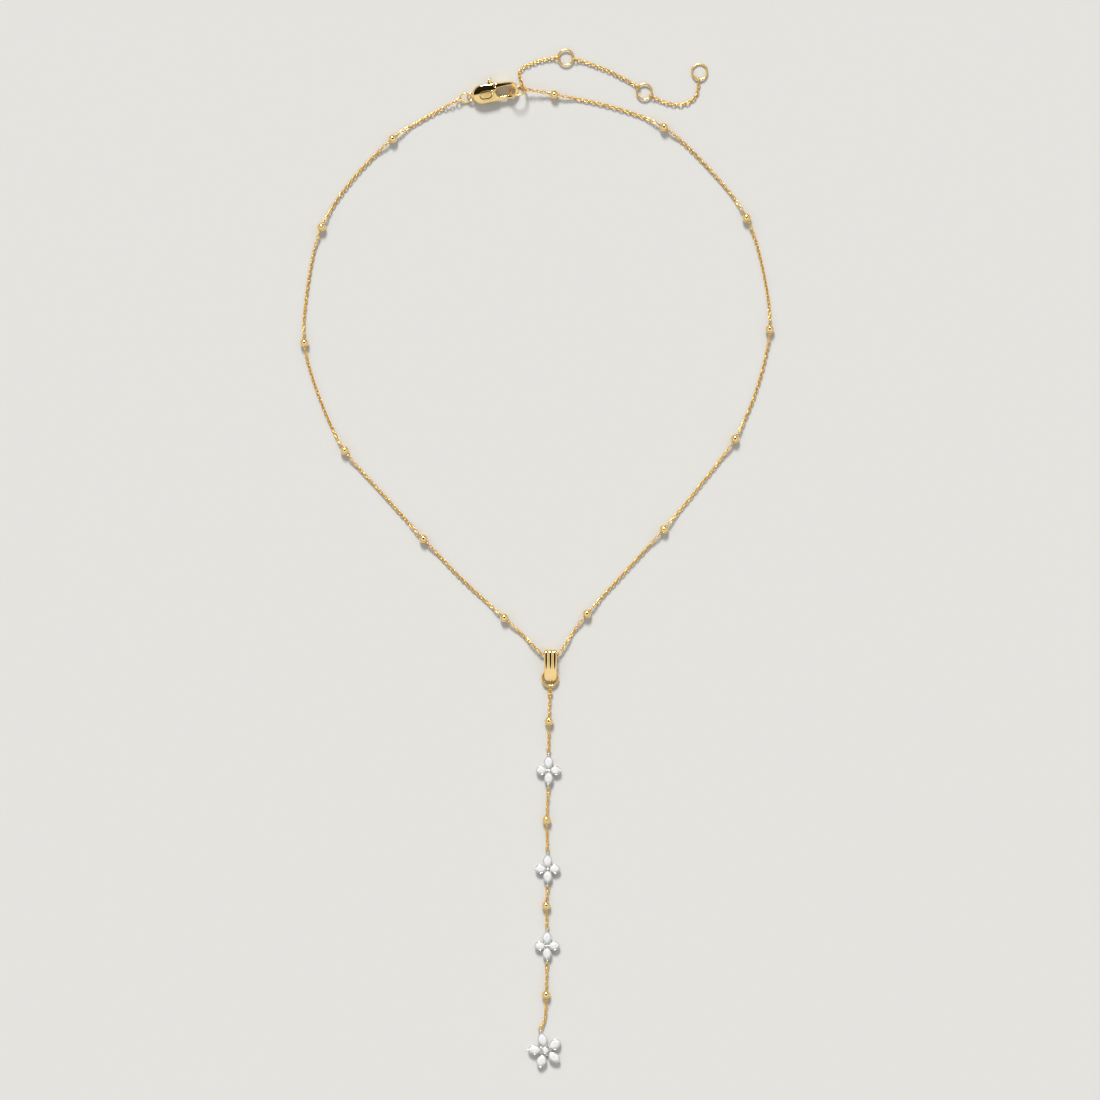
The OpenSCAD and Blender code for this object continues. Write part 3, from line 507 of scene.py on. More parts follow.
def extender_rows():
    """Links of the extender: from the connector ring to each of its three rings in turn."""
    ring = RING_MIDDLES + MID[:2]
    top = connector_middle() + CONNECTOR_R * connector_out(CONNECTOR_TOP)
    legs = [flat(e, SEEN_Z) for e in (EXTENDER_1, EXTENDER_2, EXTENDER_3)]
    paths = [
        spline(np.vstack([top, legs[0], ring_joint(ring[0], RING_R, RING_1_LEFT)])),
        spline(np.vstack([ring_joint(ring[0], RING_R, RING_1_RIGHT), legs[1],
                          ring_joint(ring[1], RING_R, RING_2_LEFT)])),
        spline(np.vstack([ring_joint(ring[1], RING_R, RING_2_RIGHT), legs[2],
                          ring_joint(ring[2], RING_R, RING_3_LOW)])),
    ]
    heading = np.array([legs[0][0][0], legs[0][0][1], top[2]]) - top
    rolls = [roll_over(heading, connector_out(CONNECTOR_TOP + 90)), 90, 90]
    rows = []
    for path, roll in zip(paths, rolls):
        path[:, 2] = np.maximum(path[:, 2], SEEN_Z)
        rows += stretch(path, "ring", "ring", roll, 90)
    return rows


def drop_direction(i):
    """Direction of a drop bead's bore: from what is above it to the flower below."""
    above = BAIL_RING_MIDDLE[:2] if i == 0 else FLOWERS[i - 1]
    return np.append(unit(FLOWERS[i] - above), 0)


def loop_middle(i, way):
    """Middle of the loop at a flower's tip, level with it."""
    if i == len(FLOWERS) - 1:
        return FLOWERS[i] + turned([END_TIP + LOOP_R - 0.1, 0], END_TURN)
    return FLOWERS[i] + [0, way * (STATION_TIP + LOOP_R - 0.1)]


def loop_joint(i, way):
    """Point of the loop's wire that the chain holds."""
    out = turned([LOOP_R, 0], END_TURN) if i == len(FLOWERS) - 1 else np.array([0, way * LOOP_R])
    return flat(loop_middle(i, way) + out, LOOP_Z)[0]


def drop_rows():
    """Links of the drop: bail ring, bead, flower, bead and so on down to the end flower."""
    rows = []
    ring_low = BAIL_RING_MIDDLE + MID + [0, -BAIL_RING_R, 0]
    for i in range(len(DROP_BEADS)):
        middle, d = flat(DROP_BEADS[i], BEAD_Z)[0], drop_direction(i)
        head, foot = middle - d * BEAD_JOINT, middle + d * BEAD_JOINT
        above = ring_low if i == 0 else loop_joint(i - 1, -1)
        upper = stretch(spline(np.array([above, head])), "hang" if i == 0 else "loop", "joint",
                        90 if i == 0 else 0, 90)
        if i == 0:
            # The first two links are heavier than the rest
            for row, (wire, width, ends) in zip(upper, ((0.42, 1.6, ("hang", "joint")),
                                                        (0.36, 1.36, ("joint", "joint")))):
                row[6:10] = reach(ends[0], wire), reach(ends[1], wire), width, wire
        rows += upper
        rows += bead_rows(middle, d)
        low = [np.array(DROP_LOW) + MID] if i == len(DROP_BEADS) - 1 else []
        rows += stretch(spline(np.array([foot, *low, loop_joint(i, 1)])), "joint", "loop", 90, 0)
    return rows


# Solid pieces

def bead_shell(middle, direction):
    """Bead as a sphere with a bore: the sphere's arc between the bore's two mouths, a rounded lip at
    each mouth that meets the sphere without a step, and the bore's wall, carried round its axis."""
    r, hole, lip = BEAD_D / 2, MOUTH / 2, 0.07
    start = math.asin((hole + lip) / (r - lip))
    arc = np.linspace(start, np.pi - start, 34)
    sphere = np.column_stack([r * np.sin(arc), r * np.cos(arc)])
    turn = np.linspace(np.pi, np.pi / 2 - start, 7)[:-1]
    edge = lip * np.column_stack([np.cos(turn), np.sin(turn)]) + [hole + lip, (r - lip) * math.cos(start)]
    wall = np.array([[hole, 0.6], [hole, 0.2], [hole, -0.2], [hole, -0.6]])
    profile = np.vstack([edge, sphere, edge[::-1] * [1, -1], wall[::-1]])
    return grid_shell(lathe(profile, middle, direction), wrap_rows=True)


def bail_shell():
    """Bail as a ribbed section carried round its own loop. The loop is two bends, a bowed upper wall
    whose circle touches both from outside, and a flat lower wall; across it the outside is a row of
    low circle arcs and the inside is flat. Near the lower end the width narrows along a quarter
    circle, so the end is round."""
    top_r, low_r = BAIL_TOP_H / 2, BAIL_LOW_H / 2
    span = BAIL_LEN - top_r - low_r
    gap = math.hypot(span, top_r - low_r)
    tilt = math.atan((top_r - low_r) / span)
    part = (gap ** 2 + (BAIL_BOW - top_r) ** 2 - (BAIL_BOW - low_r) ** 2) / (2 * gap)
    from_top = math.asin(part / (BAIL_BOW - top_r)) - tilt
    from_low = math.asin((gap - part) / (BAIL_BOW - low_r)) + tilt
    middle = -(BAIL_BOW - top_r) * np.array([math.sin(from_top), math.cos(from_top)]) + [0, top_r]

    def arc(centre, radius, a, b, n):
        # Places on a circle: [y, z, outward y, outward z], at equal angles
        q = np.linspace(a, b, n)
        out = np.column_stack([np.cos(q), np.sin(q)])
        return np.hstack([centre + radius * out, out])
    half = np.pi / 2
    loop = np.vstack([
        arc(np.array([0, top_r]), top_r, -half, half - from_top, 30)[:-1],
        arc(middle, BAIL_BOW, half - from_top, half + from_low, 40)[:-1],
        arc(np.array([-span, low_r]), low_r, half + from_low, 3 * half, 24),
        np.column_stack([np.linspace(-span, 0, 27)[1:-1], np.zeros(25), np.zeros(25), np.full(25, -1.0)]),
    ])
    per = 18
    t = np.linspace(-1, 1, RIB_COUNT * per + 1)
    share = (t + 1) / 2 * RIB_COUNT
    rib_w = BAIL_W / RIB_COUNT
    rib_r = ((rib_w / 2) ** 2 + RIB_H ** 2) / (2 * RIB_H)
    off = (share - np.minimum(np.floor(share), RIB_COUNT - 1) - 0.5) * rib_w
    height = BAIL_WALL + RIB_H - rib_r + np.sqrt(rib_r ** 2 - off ** 2)
    height = height + 0.015 * np.exp(-((np.abs(off) - rib_w / 2) / 0.04) ** 2)
    height = height - 0.1 * smooth((np.abs(t) - 0.95) / 0.05)
    inner = np.linspace(1, -1, 13)
    inner_h = 0.04 * smooth((np.abs(inner) - 0.95) / 0.05)
    across = np.concatenate([t, inner])
    up = np.concatenate([height, inner_h])
    band = BAIL_WALL + RIB_H
    place = loop[:, None, :2] + loop[:, None, 2:] * (up[None, :, None] - band)
    corner_y = BAIL_CORNER - span - low_r
    past = np.clip(corner_y - place[..., 0], 0, BAIL_CORNER)
    half = BAIL_W / 2 - BAIL_CORNER + np.sqrt(np.maximum(BAIL_CORNER ** 2 - past ** 2, 0))
    x = across[None, :] * half
    grid = np.stack([x + BAIL_EDGE[0], place[..., 0] + BAIL_EDGE[1] - top_r, place[..., 1]], axis=-1)
    return grid_shell(grid, wrap_rows=True)


def disc(p, middle, r):
    """Plan distance to a disc: to its middle, less its radius. Distances are below zero inside."""
    return np.hypot(p[:, 0] - middle[0], p[:, 1] - middle[1]) - r


def bar(p, a, ra, b, rb):
    """Plan distance to the bar between two discs: to the nearest point of the line from a to b, less
    the radius there, which goes evenly from one disc's to the other's."""
    a, way = np.asarray(a, float), np.subtract(b, a)
    t = np.clip((p[:, :2] - a) @ way / (way @ way), 0, 1)
    return np.linalg.norm(p[:, :2] - a - t[:, None] * way, axis=1) - (ra + (rb - ra) * t)


def polygon(p, corners):
    """Plan distance to a polygon's nearest side. A point is inside where a ray along the first axis
    crosses an odd number of sides."""
    c = np.asarray(corners, float)
    d = np.roll(c, -1, axis=0) - c
    w = p[:, None, :2] - c[None]
    t = np.clip((w * d).sum(-1) / (d * d).sum(-1), 0, 1)
    near = np.sqrt(((w - t[..., None] * d) ** 2).sum(-1).min(axis=1))
    spans = (c[:, 1] > p[:, 1:2]) != (np.roll(c[:, 1], -1) > p[:, 1:2])
    cross = c[:, 0] + w[..., 1] * d[:, 0] / np.where(d[:, 1] == 0, 1e-9, d[:, 1])
    inside = (spans & (p[:, 0:1] < cross)).sum(axis=1) % 2 == 1
    return np.where(inside, -near, near)


def both(a, b, r=0.0):
    """What is inside both of two forms, with an edge of radius r: the larger distance, but the
    distance to the rounding's own circle where both are closer than r to the edge."""
    return np.minimum(np.maximum(a, b), -r) + np.hypot(np.maximum(a + r, 0), np.maximum(b + r, 0))


def either(a, b, r=0.0):
    """What is inside one of two forms, with a fillet of radius r between them."""
    return -both(-a, -b, r)


def tab_point(degrees, grow=0.0):
    """Point of the thumb tab's half oval at an angle."""
    a = math.radians(degrees)
    return TAB + turned([(TAB_W / 2 + grow) * math.cos(a), TAB_H * math.sin(a)], TAB_LEAN)


def clasp_outline(p):
    """Plan distance to the clasp's outline, a bar between its two ends."""
    return bar(p, TAIL_END, TAIL_R, NOSE, NOSE_R)


def claw_opening(p):
    """Plan distance to the claw's opening, a bar that narrows a little towards the tail."""
    return bar(p, CLAW_END, CLAW_R - 0.15, CLAW, CLAW_R)


def plaque_line(p, width):
    """How near a point is to the oval plaque's rim: 1 on it, falling off as a bell curve."""
    half = (PLAQUE_L - PLAQUE_W) / 2
    rim = bar(p, PLAQUE - [half, 0], PLAQUE_W / 2, PLAQUE + [half, 0], PLAQUE_W / 2)
    return np.exp(-(rim / width) ** 2)


def clasp_top(p):
    """Height of the clasp's upper face. It is highest along a crease; on one side of it a flat face
    slopes down, on the other the face bends down as a parabola. The whole bows down along the clasp
    as a parabola too, and a shallow line runs round the oval plaque."""
    u, v = p[:, 0], p[:, 1]
    w = v - (0.92 + 0.11 * u)
    low, high = math.tan(math.radians(12.0)) * -w, 0.055 * np.maximum(w, 0) ** 2
    drop = (low + high + np.sqrt((low - high) ** 2 + 0.0012)) / 2 - 0.017
    drop = drop * (1 - 0.55 * smooth((u - 1.5) / 3.5))
    return CLASP_T - (u - SPINE_U) ** 2 / (2 * SPINE_R) - drop - 0.034 * plaque_line(p, 0.085)


def lever_room(p):
    """Plan distance to the room that the lever turns in, between the cheeks."""
    tab_a, tab_b = tab_point(0, LEVER_GAP), tab_point(180, LEVER_GAP)
    upper = polygon(p, [PIVOT + [0.7 + LEVER_GAP, 0], tab_a, tab_a + [1.8, 7],
                        PIVOT + turned(3 * (tab_b - PIVOT), LEVER_OPEN),
                        PIVOT + turned([-0.7 - LEVER_GAP, 0], LEVER_OPEN)])
    lower = polygon(p, [PIVOT + [-0.7, 0], PIVOT + [-0.7, -9], [9, -9], [9, 0], PIVOT + [0.9, 0.4]])
    lower = both(lower, disc(p, PIVOT, LEVER_REACH + LEVER_GAP))
    return np.minimum(np.minimum(upper, lower), disc(p, PIVOT, LEVER_DISC_R + LEVER_GAP))


def clasp_form(p):
    """Form of the clasp's body in its own frame: what is within the outline, below the upper face
    and above the lens-shaped lower one, less the claw, the gate's place, the lever's room, the notch
    beside the tab and the pin's hole, with the tail eye's ring joined on by a fillet."""
    u, v, z = p.T
    low = np.maximum((u - SPINE_U) ** 2 / (2 * SPINE_R), v ** 2 / (2 * LENS_R))
    body = both(clasp_outline(p), z - clasp_top(p), TOP_EDGE)
    body = both(body, low - z, LOW_EDGE)
    body = both(body, -claw_opening(p), CLAW_EDGE)
    gate = both(both(disc(p, PIVOT, LEVER_REACH + LEVER_GAP), GATE_U - LEVER_GAP - u), v)
    body = both(body, -gate, GATE_EDGE)
    middle = CLASP_T / 2
    body = both(body, -both(lever_room(p), np.abs(z - middle) - LEVER_T / 2 - LEVER_GAP), SLOT_EDGE)
    root = tab_point(0)
    notch = polygon(p, [root + [0.2, -0.8], root + [0.45, -0.75], root + [0.2, 2], root + [-0.15, 2]])
    body = both(body, -both(notch, middle - z, 0.1), SLOT_EDGE)
    body = both(body, -disc(p, PIVOT, PIN_D / 2 + PIN_FIT), 0.02)
    eye = np.hypot(np.hypot(u - EYE_U, v) - EYE_R, z - EYE_Z) - TAIL_EYE_WIRE / 2
    return either(body, eye, 0.15)


def lever_form(p):
    """Form of the lever in the clasp's frame: the pivot's disc, the half-oval tab and the gate, as
    thick as the lever with well rounded edges, less the pin's hole. The tab thins towards one side,
    and the gate's face slopes as the body's does."""
    tab = polygon(p, [PIVOT + [-0.7, 0], PIVOT + [0.7, 0]] + [tab_point(k * 180 / 16) for k in range(17)])
    gate = polygon(p, [PIVOT + [-0.6, -0.4], PIVOT + [0, -1.6], [GATE_U, -TAIL_R], [4, -TAIL_R],
                       [4, 0.1 - CLAW_R], [0.8, 0], PIVOT + [0.6, 0.3]])
    gate = both(both(gate, both(clasp_outline(p), disc(p, PIVOT, LEVER_REACH))), -claw_opening(p))
    plan = np.minimum(np.minimum(tab, gate), disc(p, PIVOT, LEVER_DISC_R))
    up = smooth((p[:, 1] - TAIL_R + 0.4) / 1.0)
    side = np.clip((p[:, 0] - TAB[0] + 0.35) / 0.8, -0.6, 1.5)
    thick = LEVER_T / 2 - up * (0.02 + 0.24 * np.maximum(side, 0) ** 1.3 + 0.05 * side ** 2)
    height = p[:, 2] - CLASP_T / 2
    slope = 0.22 * np.clip(-1.1 - p[:, 1], 0, 1.3)
    low = smooth((GATE_U - 0.2 - p[:, 0]) / 0.1) * smooth((p[:, 1] + 1.2) / 0.2)
    edge = 0.15 + 0.11 * up - 0.05 * low * (1 - up)
    lever = both(plan, np.maximum(height - thick + slope, -height - thick), edge)
    return both(lever, -disc(p, PIVOT, PIN_D / 2 + PIN_PLAY), 0.03)


def drawn_to(points, edges, form, rounds=6):
    """Points drawn onto a form. In each round they go halfway to the mean of their neighbours, but
    not in the last two rounds, and then follow the form's slope to where it is nought by two of
    Newton's steps, none longer than 0.15 mm, with the slope taken by differences over 0.02 mm."""
    a, b = edges.T
    count = np.maximum(np.bincount(edges.ravel(), minlength=len(points)), 1)[:, None]
    for k in range(rounds):
        if k < rounds - 2:
            total = [np.bincount(a, points[b, i], len(points)) + np.bincount(b, points[a, i], len(points))
                     for i in range(3)]
            points = (points + np.column_stack(total) / count) / 2
        for _ in range(2):
            slope = np.column_stack([(form(points + h) - form(points - h)) / 0.02 for h in 0.01 * np.eye(3)])
            size = np.maximum((slope ** 2).sum(axis=1), 0.3)
            step = np.clip(form(points) / size, -0.15, 0.15)
            points = points - step[:, None] * slope
    return points


def marquise(length, width, grow, n):
    """Outline of two equal arcs that meet in two points, grown by grow: n points by equal angles
    along each arc, anticlockwise from the outer point."""
    r = ((length / 2) ** 2 + (width / 2) ** 2) / width
    d = r - width / 2
    tip = math.acos(min(1.0, d / (r + grow)))
    k = np.arange(n)
    half = n // 2
    q = tip * (1 - 2 * (k % half) / half)
    s = np.where(k < half, 1.0, -1.0)
    return np.column_stack([s * (r + grow) * np.sin(q), s * ((r + grow) * np.cos(q) - d)])


CUP_PROFILE = np.array([
    [-0.62, 0.0], [-0.45, 0.0], [-0.34, 0.05], [-0.24, 0.2], [-0.12, 0.55], [-0.04, 0.95], [0.0, 1.3],
    [-0.005, 1.43], [-0.035, 1.485], [-0.08, 1.5], [-0.125, 1.49], [-0.16, 1.45], [-0.18, 1.38],
    [-0.18, 1.2], [-0.24, 1.0], [-0.5, CUP_FLOOR + 0.1], [-0.62, CUP_FLOOR],
])


def petal(i, j):
    """Length, width and inner distance of a petal, and the angle that it points at."""
    if i == len(FLOWERS) - 1:
        return END_PETAL_LEN, END_PETAL_W, END_IN, END_TURN + j * 360 / END_PETALS
    if j % 2 == 0:
        return PETAL_LEN, PETAL_W, STATION_IN, 90 + j * 90
    return SIDE_PETAL_LEN, PETAL_W, SIDE_IN, 90 + j * 90


def petal_count(i):
    """Number of a flower's petals."""
    return END_PETALS if i == len(FLOWERS) - 1 else 4


def at_petal(points, i, j):
    """Points of a petal's own frame put in their place: out by the petal's middle, then turned."""
    length, _, inner, turn = petal(i, j)
    p = np.asarray(points, float) + [inner + length / 2, 0, 0]
    return turned(p, turn) + [*FLOWERS[i], 0] + MID


def cup_grid(i, j, n=40):
    """Cup of a petal: its outline at each step of the profile, grown by the profile's first number
    at the height of its second."""
    length, width, _, _ = petal(i, j)
    rows = [np.column_stack([marquise(length, width, g, n), np.full(n, z)]) for g, z in CUP_PROFILE]
    return at_petal(np.array(rows), i, j)


def ball(middle, radius, squash_z=1.0, rows=10, sides=16):
    """Ball as circles by equal angles between its poles, flattened in height."""
    q = np.linspace(0.12, np.pi - 0.12, rows)
    profile = np.column_stack([radius * np.sin(q), -radius * squash_z * np.cos(q)])
    return grid_shell(lathe(profile, middle, UP, sides), caps=True)


def faceted(ring, height):
    """Cut stone whose girdle is the ring of points, with flat facets: a table, a row of star facets,
    kites and triangles down to the girdle, a thin girdle, and kites and triangles below that meet in
    a keel point. Each level is the ring drawn smaller about the middle at its own height."""
    table, crown, girdle, keel = 0.56, 0.4, 0.07, 0.66
    n = len(ring)
    even, odd = ring[0::2], ring[1::2]
    m = len(even)
    levels = [
        np.column_stack([even * table, np.full(m, crown)]),
        np.column_stack([odd * (table + 1) / 2 * 1.03, np.full(m, crown * 0.62)]),
        np.column_stack([ring, np.zeros(n)]),
        np.column_stack([ring, np.full(n, -girdle)]),
        np.column_stack([odd * 0.36, np.full(m, -girdle - keel * 0.72)]),
        np.array([[0.0, 0.0, -girdle - keel]]),
    ]
    points = np.vstack(levels) + [0, 0, height]
    a, b, g, h, p, culet = np.cumsum([0, m, m, n, n, m])
    k = np.arange(m)
    k1 = (k + 1) % m
    e, o, e1 = 2 * k, 2 * k + 1, (2 * k + 2) % n
    faces = [tuple(a + k)]
    faces += list(zip(a + k, b + k, a + k1))
    faces += list(zip(a + k, b + (k - 1) % m, g + e, b + k))
    faces += list(zip(b + k, g + e, g + o)) + list(zip(b + k, g + o, g + e1))
    r = np.arange(n)
    r1 = (r + 1) % n
    faces += list(zip(g + r, h + r, h + r1, g + r1))
    faces += list(zip(p + k, h + o, h + e)) + list(zip(p + k, h + e1, h + o))
    faces += list(zip(np.full(m, culet), p + k, h + e, p + (k - 1) % m))
    return shell(points, faces)


# Shading

class Value:
    """A shader socket with a number in it. Arithmetic on it adds Math nodes to its material."""

    def __init__(self, tree, socket):
        self.tree = tree
        self.socket = socket

    def math(self, operation, *others, clamp=False):
        """The result of one Math node on these sockets or numbers."""
        node = self.tree.nodes.new("ShaderNodeMath")
        node.operation = operation
        node.use_clamp = clamp
        for slot_in, value in zip(node.inputs, others):
            if isinstance(value, Value):
                self.tree.links.new(value.socket, slot_in)
            else:
                slot_in.default_value = value
        return Value(self.tree, node.outputs[0])

    def __add__(self, other):
        return self.math("ADD", self, other)

    def __radd__(self, other):
        return self.math("ADD", other, self)

    def __sub__(self, other):
        return self.math("SUBTRACT", self, other)

    def __rsub__(self, other):
        return self.math("SUBTRACT", other, self)

    def __mul__(self, other):
        return self.math("MULTIPLY", self, other)

    def between(self, low, high):
        """0 at low, 1 at high, held beyond them."""
        return self.math("MULTIPLY", self - low, 1 / (high - low), clamp=True)


class Shading:
    """Node tree of one material or of the world."""

    def __init__(self, tree):
        self.tree = tree
        tree.nodes.clear()

    def node(self, kind, settings=None, inputs=None):
        """A node of a type: its settings first, then the values or links of its sockets."""
        made = self.tree.nodes.new(kind)
        for name, value in (settings or {}).items():
            setattr(made, name, value)
        for name, value in (inputs or {}).items():
            socket = made.inputs[name]
            if isinstance(value, Value):
                self.tree.links.new(value.socket, socket)
            elif isinstance(value, bpy.types.NodeSocket):
                self.tree.links.new(value, socket)
            else:
                socket.default_value = value
        return made

    def value(self, socket):
        """The socket as a number to do arithmetic with."""
        return Value(self.tree, socket)

    def noise(self, scale, detail=3.0, roughness=0.5):
        """Noise of an object's own coordinates, as a number about 0.5."""
        made = self.node("ShaderNodeTexNoise", inputs={
            "Vector": self.node("ShaderNodeTexCoord").outputs["Object"],
            "Scale": scale, "Detail": detail, "Roughness": roughness})
        return self.value(made.outputs["Fac"])

    def tone(self):
        """The share of painted shade that is written at each point as the tone attribute."""
        return self.value(self.node("ShaderNodeAttribute", {"attribute_name": "tone"}).outputs["Fac"])

    def mix_colour(self, share, a, b):
        """Colour from a to b by the share. Sockets 6 and 7 are the node's two colours."""
        return self.node("ShaderNodeMix", {"data_type": "RGBA"}, {"Factor": share, 6: a, 7: b}).outputs[2]

    def surface(self, **inputs):
        """The material's surface, with these values or links by the sockets' names."""
        made = self.node("ShaderNodeBsdfPrincipled", inputs={
            name.replace("_", " "): value for name, value in inputs.items()})
        self.node("ShaderNodeOutputMaterial", inputs={"Surface": made.outputs["BSDF"]})


def new_material(name):
    """A new material and its empty node tree."""
    material = bpy.data.materials.new(name)
    material.use_nodes = True
    return material, Shading(material.node_tree)


def rgba(colour):
    """A colour of three numbers with full alpha."""
    return (*tuple(colour)[:3], 1.0)


def metal_material(name, bright, deep, rough, grain, painted_shade_colour=None):
    """Polished metal: its colour drifts between two tones over a few millimetres, its polish varies
    in fine patches, and a faint cast grain breaks its highlights. A painted-shade colour, where given, shows
    by the tone."""
    material, sh = new_material(name)
    patches = sh.noise(420.0, 3.0)
    fine = sh.noise(5200.0, 4.0, 0.6)
    colour = sh.mix_colour(patches.between(0.35, 0.7), rgba(bright), rgba(deep))
    # Painted shade: a darker colour mixed in by the tone attribute, which marks the plaque's groove line
    if painted_shade_colour:
        colour = sh.mix_colour(sh.tone(), colour, rgba(painted_shade_colour))
    roughness = rough + (fine - 0.5) * 0.09 + (patches - 0.5) * 0.05
    bump = sh.node("ShaderNodeBump", inputs={
        "Strength": grain, "Distance": 0.00003, "Height": sh.noise(9000.0, 3.0, 0.55)})
    sh.surface(Base_Color=colour, Metallic=1.0, Roughness=roughness, Normal=bump.outputs["Normal"])
    return material


def chain_material(name, bright, deep):
    """Fine chain: gold drawn towards a painted-shade colour by the links' painted shade, with a soft polish.
    """
    material, sh = new_material(name)
    tone = sh.tone()
    patches = sh.noise(700.0, 2.0)
    # Painted shade: the deep colour where the tone attribute is high, stirred by faint patches
    colour = sh.mix_colour((tone + (patches - 0.5) * 0.5).between(0.0, 1.0), rgba(bright), rgba(deep))
    sh.surface(Base_Color=colour, Metallic=1.0, Roughness=0.3 + (patches - 0.5) * 0.05)
    return material


def stone_material(name, tint):
    """Clear cut stone: light goes through it and bends strongly at the facets."""
    material, sh = new_material(name)
    cloud = sh.noise(900.0, 2.0)
    colour = sh.mix_colour(cloud.between(0.3, 0.75), rgba(tint), (0.97, 0.97, 0.975, 1))
    sh.surface(Base_Color=colour, Metallic=0.0, Roughness=0.03 + (cloud - 0.5) * 0.02, IOR=1.9,
               Transmission_Weight=0.35)
    return material


def material_of(name):
    """The named finish, made once from the scene's colours."""
    if name in bpy.data.materials:
        return bpy.data.materials[name]
    look = bpy.context.scene.necklace_finish
    if name == "polished_gold":
        return metal_material(name, look.gold, look.gold_deep, 0.08, 0.05)
    # Cast gold is polished gold with painted shade in the plaque's groove line
    if name == "cast_gold":
        return metal_material(name, look.gold, look.gold_deep, 0.08, 0.05, look.plaque_line_shade)
    if name == "ring_gold":
        return metal_material(name, look.ring_gold, [c * 0.94 for c in look.ring_gold], 0.24, 0.05)
    if name == "chain_gold":
        return chain_material(name, look.chain_gold, look.chain_painted_shade)
    if name == "white_metal":
        return metal_material(name, look.white_metal, look.white_metal_deep, 0.26, 0.05)
    return stone_material(name, look.stone)


# Settings

def colour_property(name, description, default):
    """A colour that the user can change."""
    return FloatVectorProperty(name=name, description=description, default=default, subtype="COLOR", size=3,
                               min=0, max=1)


class NECKLACE_PG_sizes(bpy.types.PropertyGroup):
    """Sizes that a user would change."""

    prong: FloatProperty(
        name="Prong", description="Radius of the small prongs at a petal's tips",
        default=0.00014, min=0.00008, max=0.0003, precision=5, unit="LENGTH")
    softness: FloatProperty(
        name="Clasp step", description="Size of the steps that the clasp's cast surface is made in",
        default=0.000052, min=0.00004, max=0.0001, precision=6, unit="LENGTH")


class NECKLACE_PG_finish(bpy.types.PropertyGroup):
    """Colours of the metals and stones."""

    gold: colour_property("Gold", "Polished gold where it is brightest", (1.0, 0.76, 0.36))
    gold_deep: colour_property("Deep gold", "Gold where its tone is deeper", (0.99, 0.69, 0.27))
    # Colour of the painted shade in the groove round the clasp's plaque
    plaque_line_shade: colour_property("Line gold", "Gold in the line round the clasp's plaque", (0.42, 0.24, 0.07))
    ring_gold: colour_property("Ring gold", "Gold of the jump rings", (1.0, 0.7, 0.24))
    chain_gold: colour_property("Chain gold", "Gold of the chain's links", (1.0, 0.74, 0.22))
    # Colour of the painted shade between and inside the chain's links
    chain_painted_shade: colour_property("Deep chain gold", "Gold in the links' own shade", (0.8, 0.32, 0.01))
    white_metal: colour_property("White metal", "Metal of the flower settings", (0.98, 0.975, 0.965))
    white_metal_deep: colour_property("Deep white metal", "White metal in deeper tone", (0.93, 0.93, 0.925))
    stone: colour_property("Stone", "Tint of the clear stones", (0.99, 0.99, 1.0))


class NECKLACE_PG_stage(bpy.types.PropertyGroup):
    """Floor, lights and view."""

    paper: colour_property("Paper", "Colour of the floor", (0.575, 0.574, 0.56))
    lamp_power: FloatProperty(
        name="Lamp power", description="Strength of the distant lamp", default=3.65, min=0)
    lamp_size: FloatProperty(
        name="Lamp size", description="Angle that the lamp fills, seen from the necklace",
        default=math.radians(16), min=0, subtype="ANGLE")
    fill: FloatProperty(
        name="Fill", description="Strength of the soft light from all round", default=1.0, min=0)
    view_width: FloatProperty(
        name="View width", description="Width that the camera sees", default=0.286, min=0.01, unit="LENGTH")


# Operators

class PieceOperator:
    """What all the operators share: they can be undone."""
    bl_options = {"REGISTER", "UNDO"}


class NECKLACE_OT_chains(PieceOperator, bpy.types.Operator):
    """Links of the neck chain, of the extender and of the drop"""
    bl_idname = "necklace.chains"
    bl_label = "Chains"

    def execute(self, context):
        metal = material_of("chain_gold")
        for name, rows, node in (("neck_links", neck_rows(), "neck_chain"),
                                 ("extender_links", extender_rows(), "extender_chain"),
                                 ("drop_links", drop_rows(), "drop_chain")):
            chain = make_piece(name, fine_links(rows), metal, [node], recalc=False)
            # Painted shade between and inside the links, written as the tone attribute
            write_painted_shade(chain.data, link_painted_shade(rows))
        return {"FINISHED"}


class NECKLACE_OT_beads(PieceOperator, bpy.types.Operator):
    """Gold beads on the neck chain and on the drop"""
    bl_idname = "necklace.beads"
    bl_label = "Beads"

    def execute(self, context):
        metal = material_of("polished_gold")
        middles, directions, _ = neck_beads()
        for k, (m, d) in enumerate(zip(middles, directions), 1):
            make_piece(f"satellite_bead_{k}", [bead_shell(m, d)], metal, [f"neck_bead_{k}"])
        for i, middle in enumerate(flat(DROP_BEADS, BEAD_Z)):
            make_piece(f"pendant_bead_{i + 1}", [bead_shell(middle, drop_direction(i))], metal,
                       [f"drop_bead_{i + 1}"])
        return {"FINISHED"}


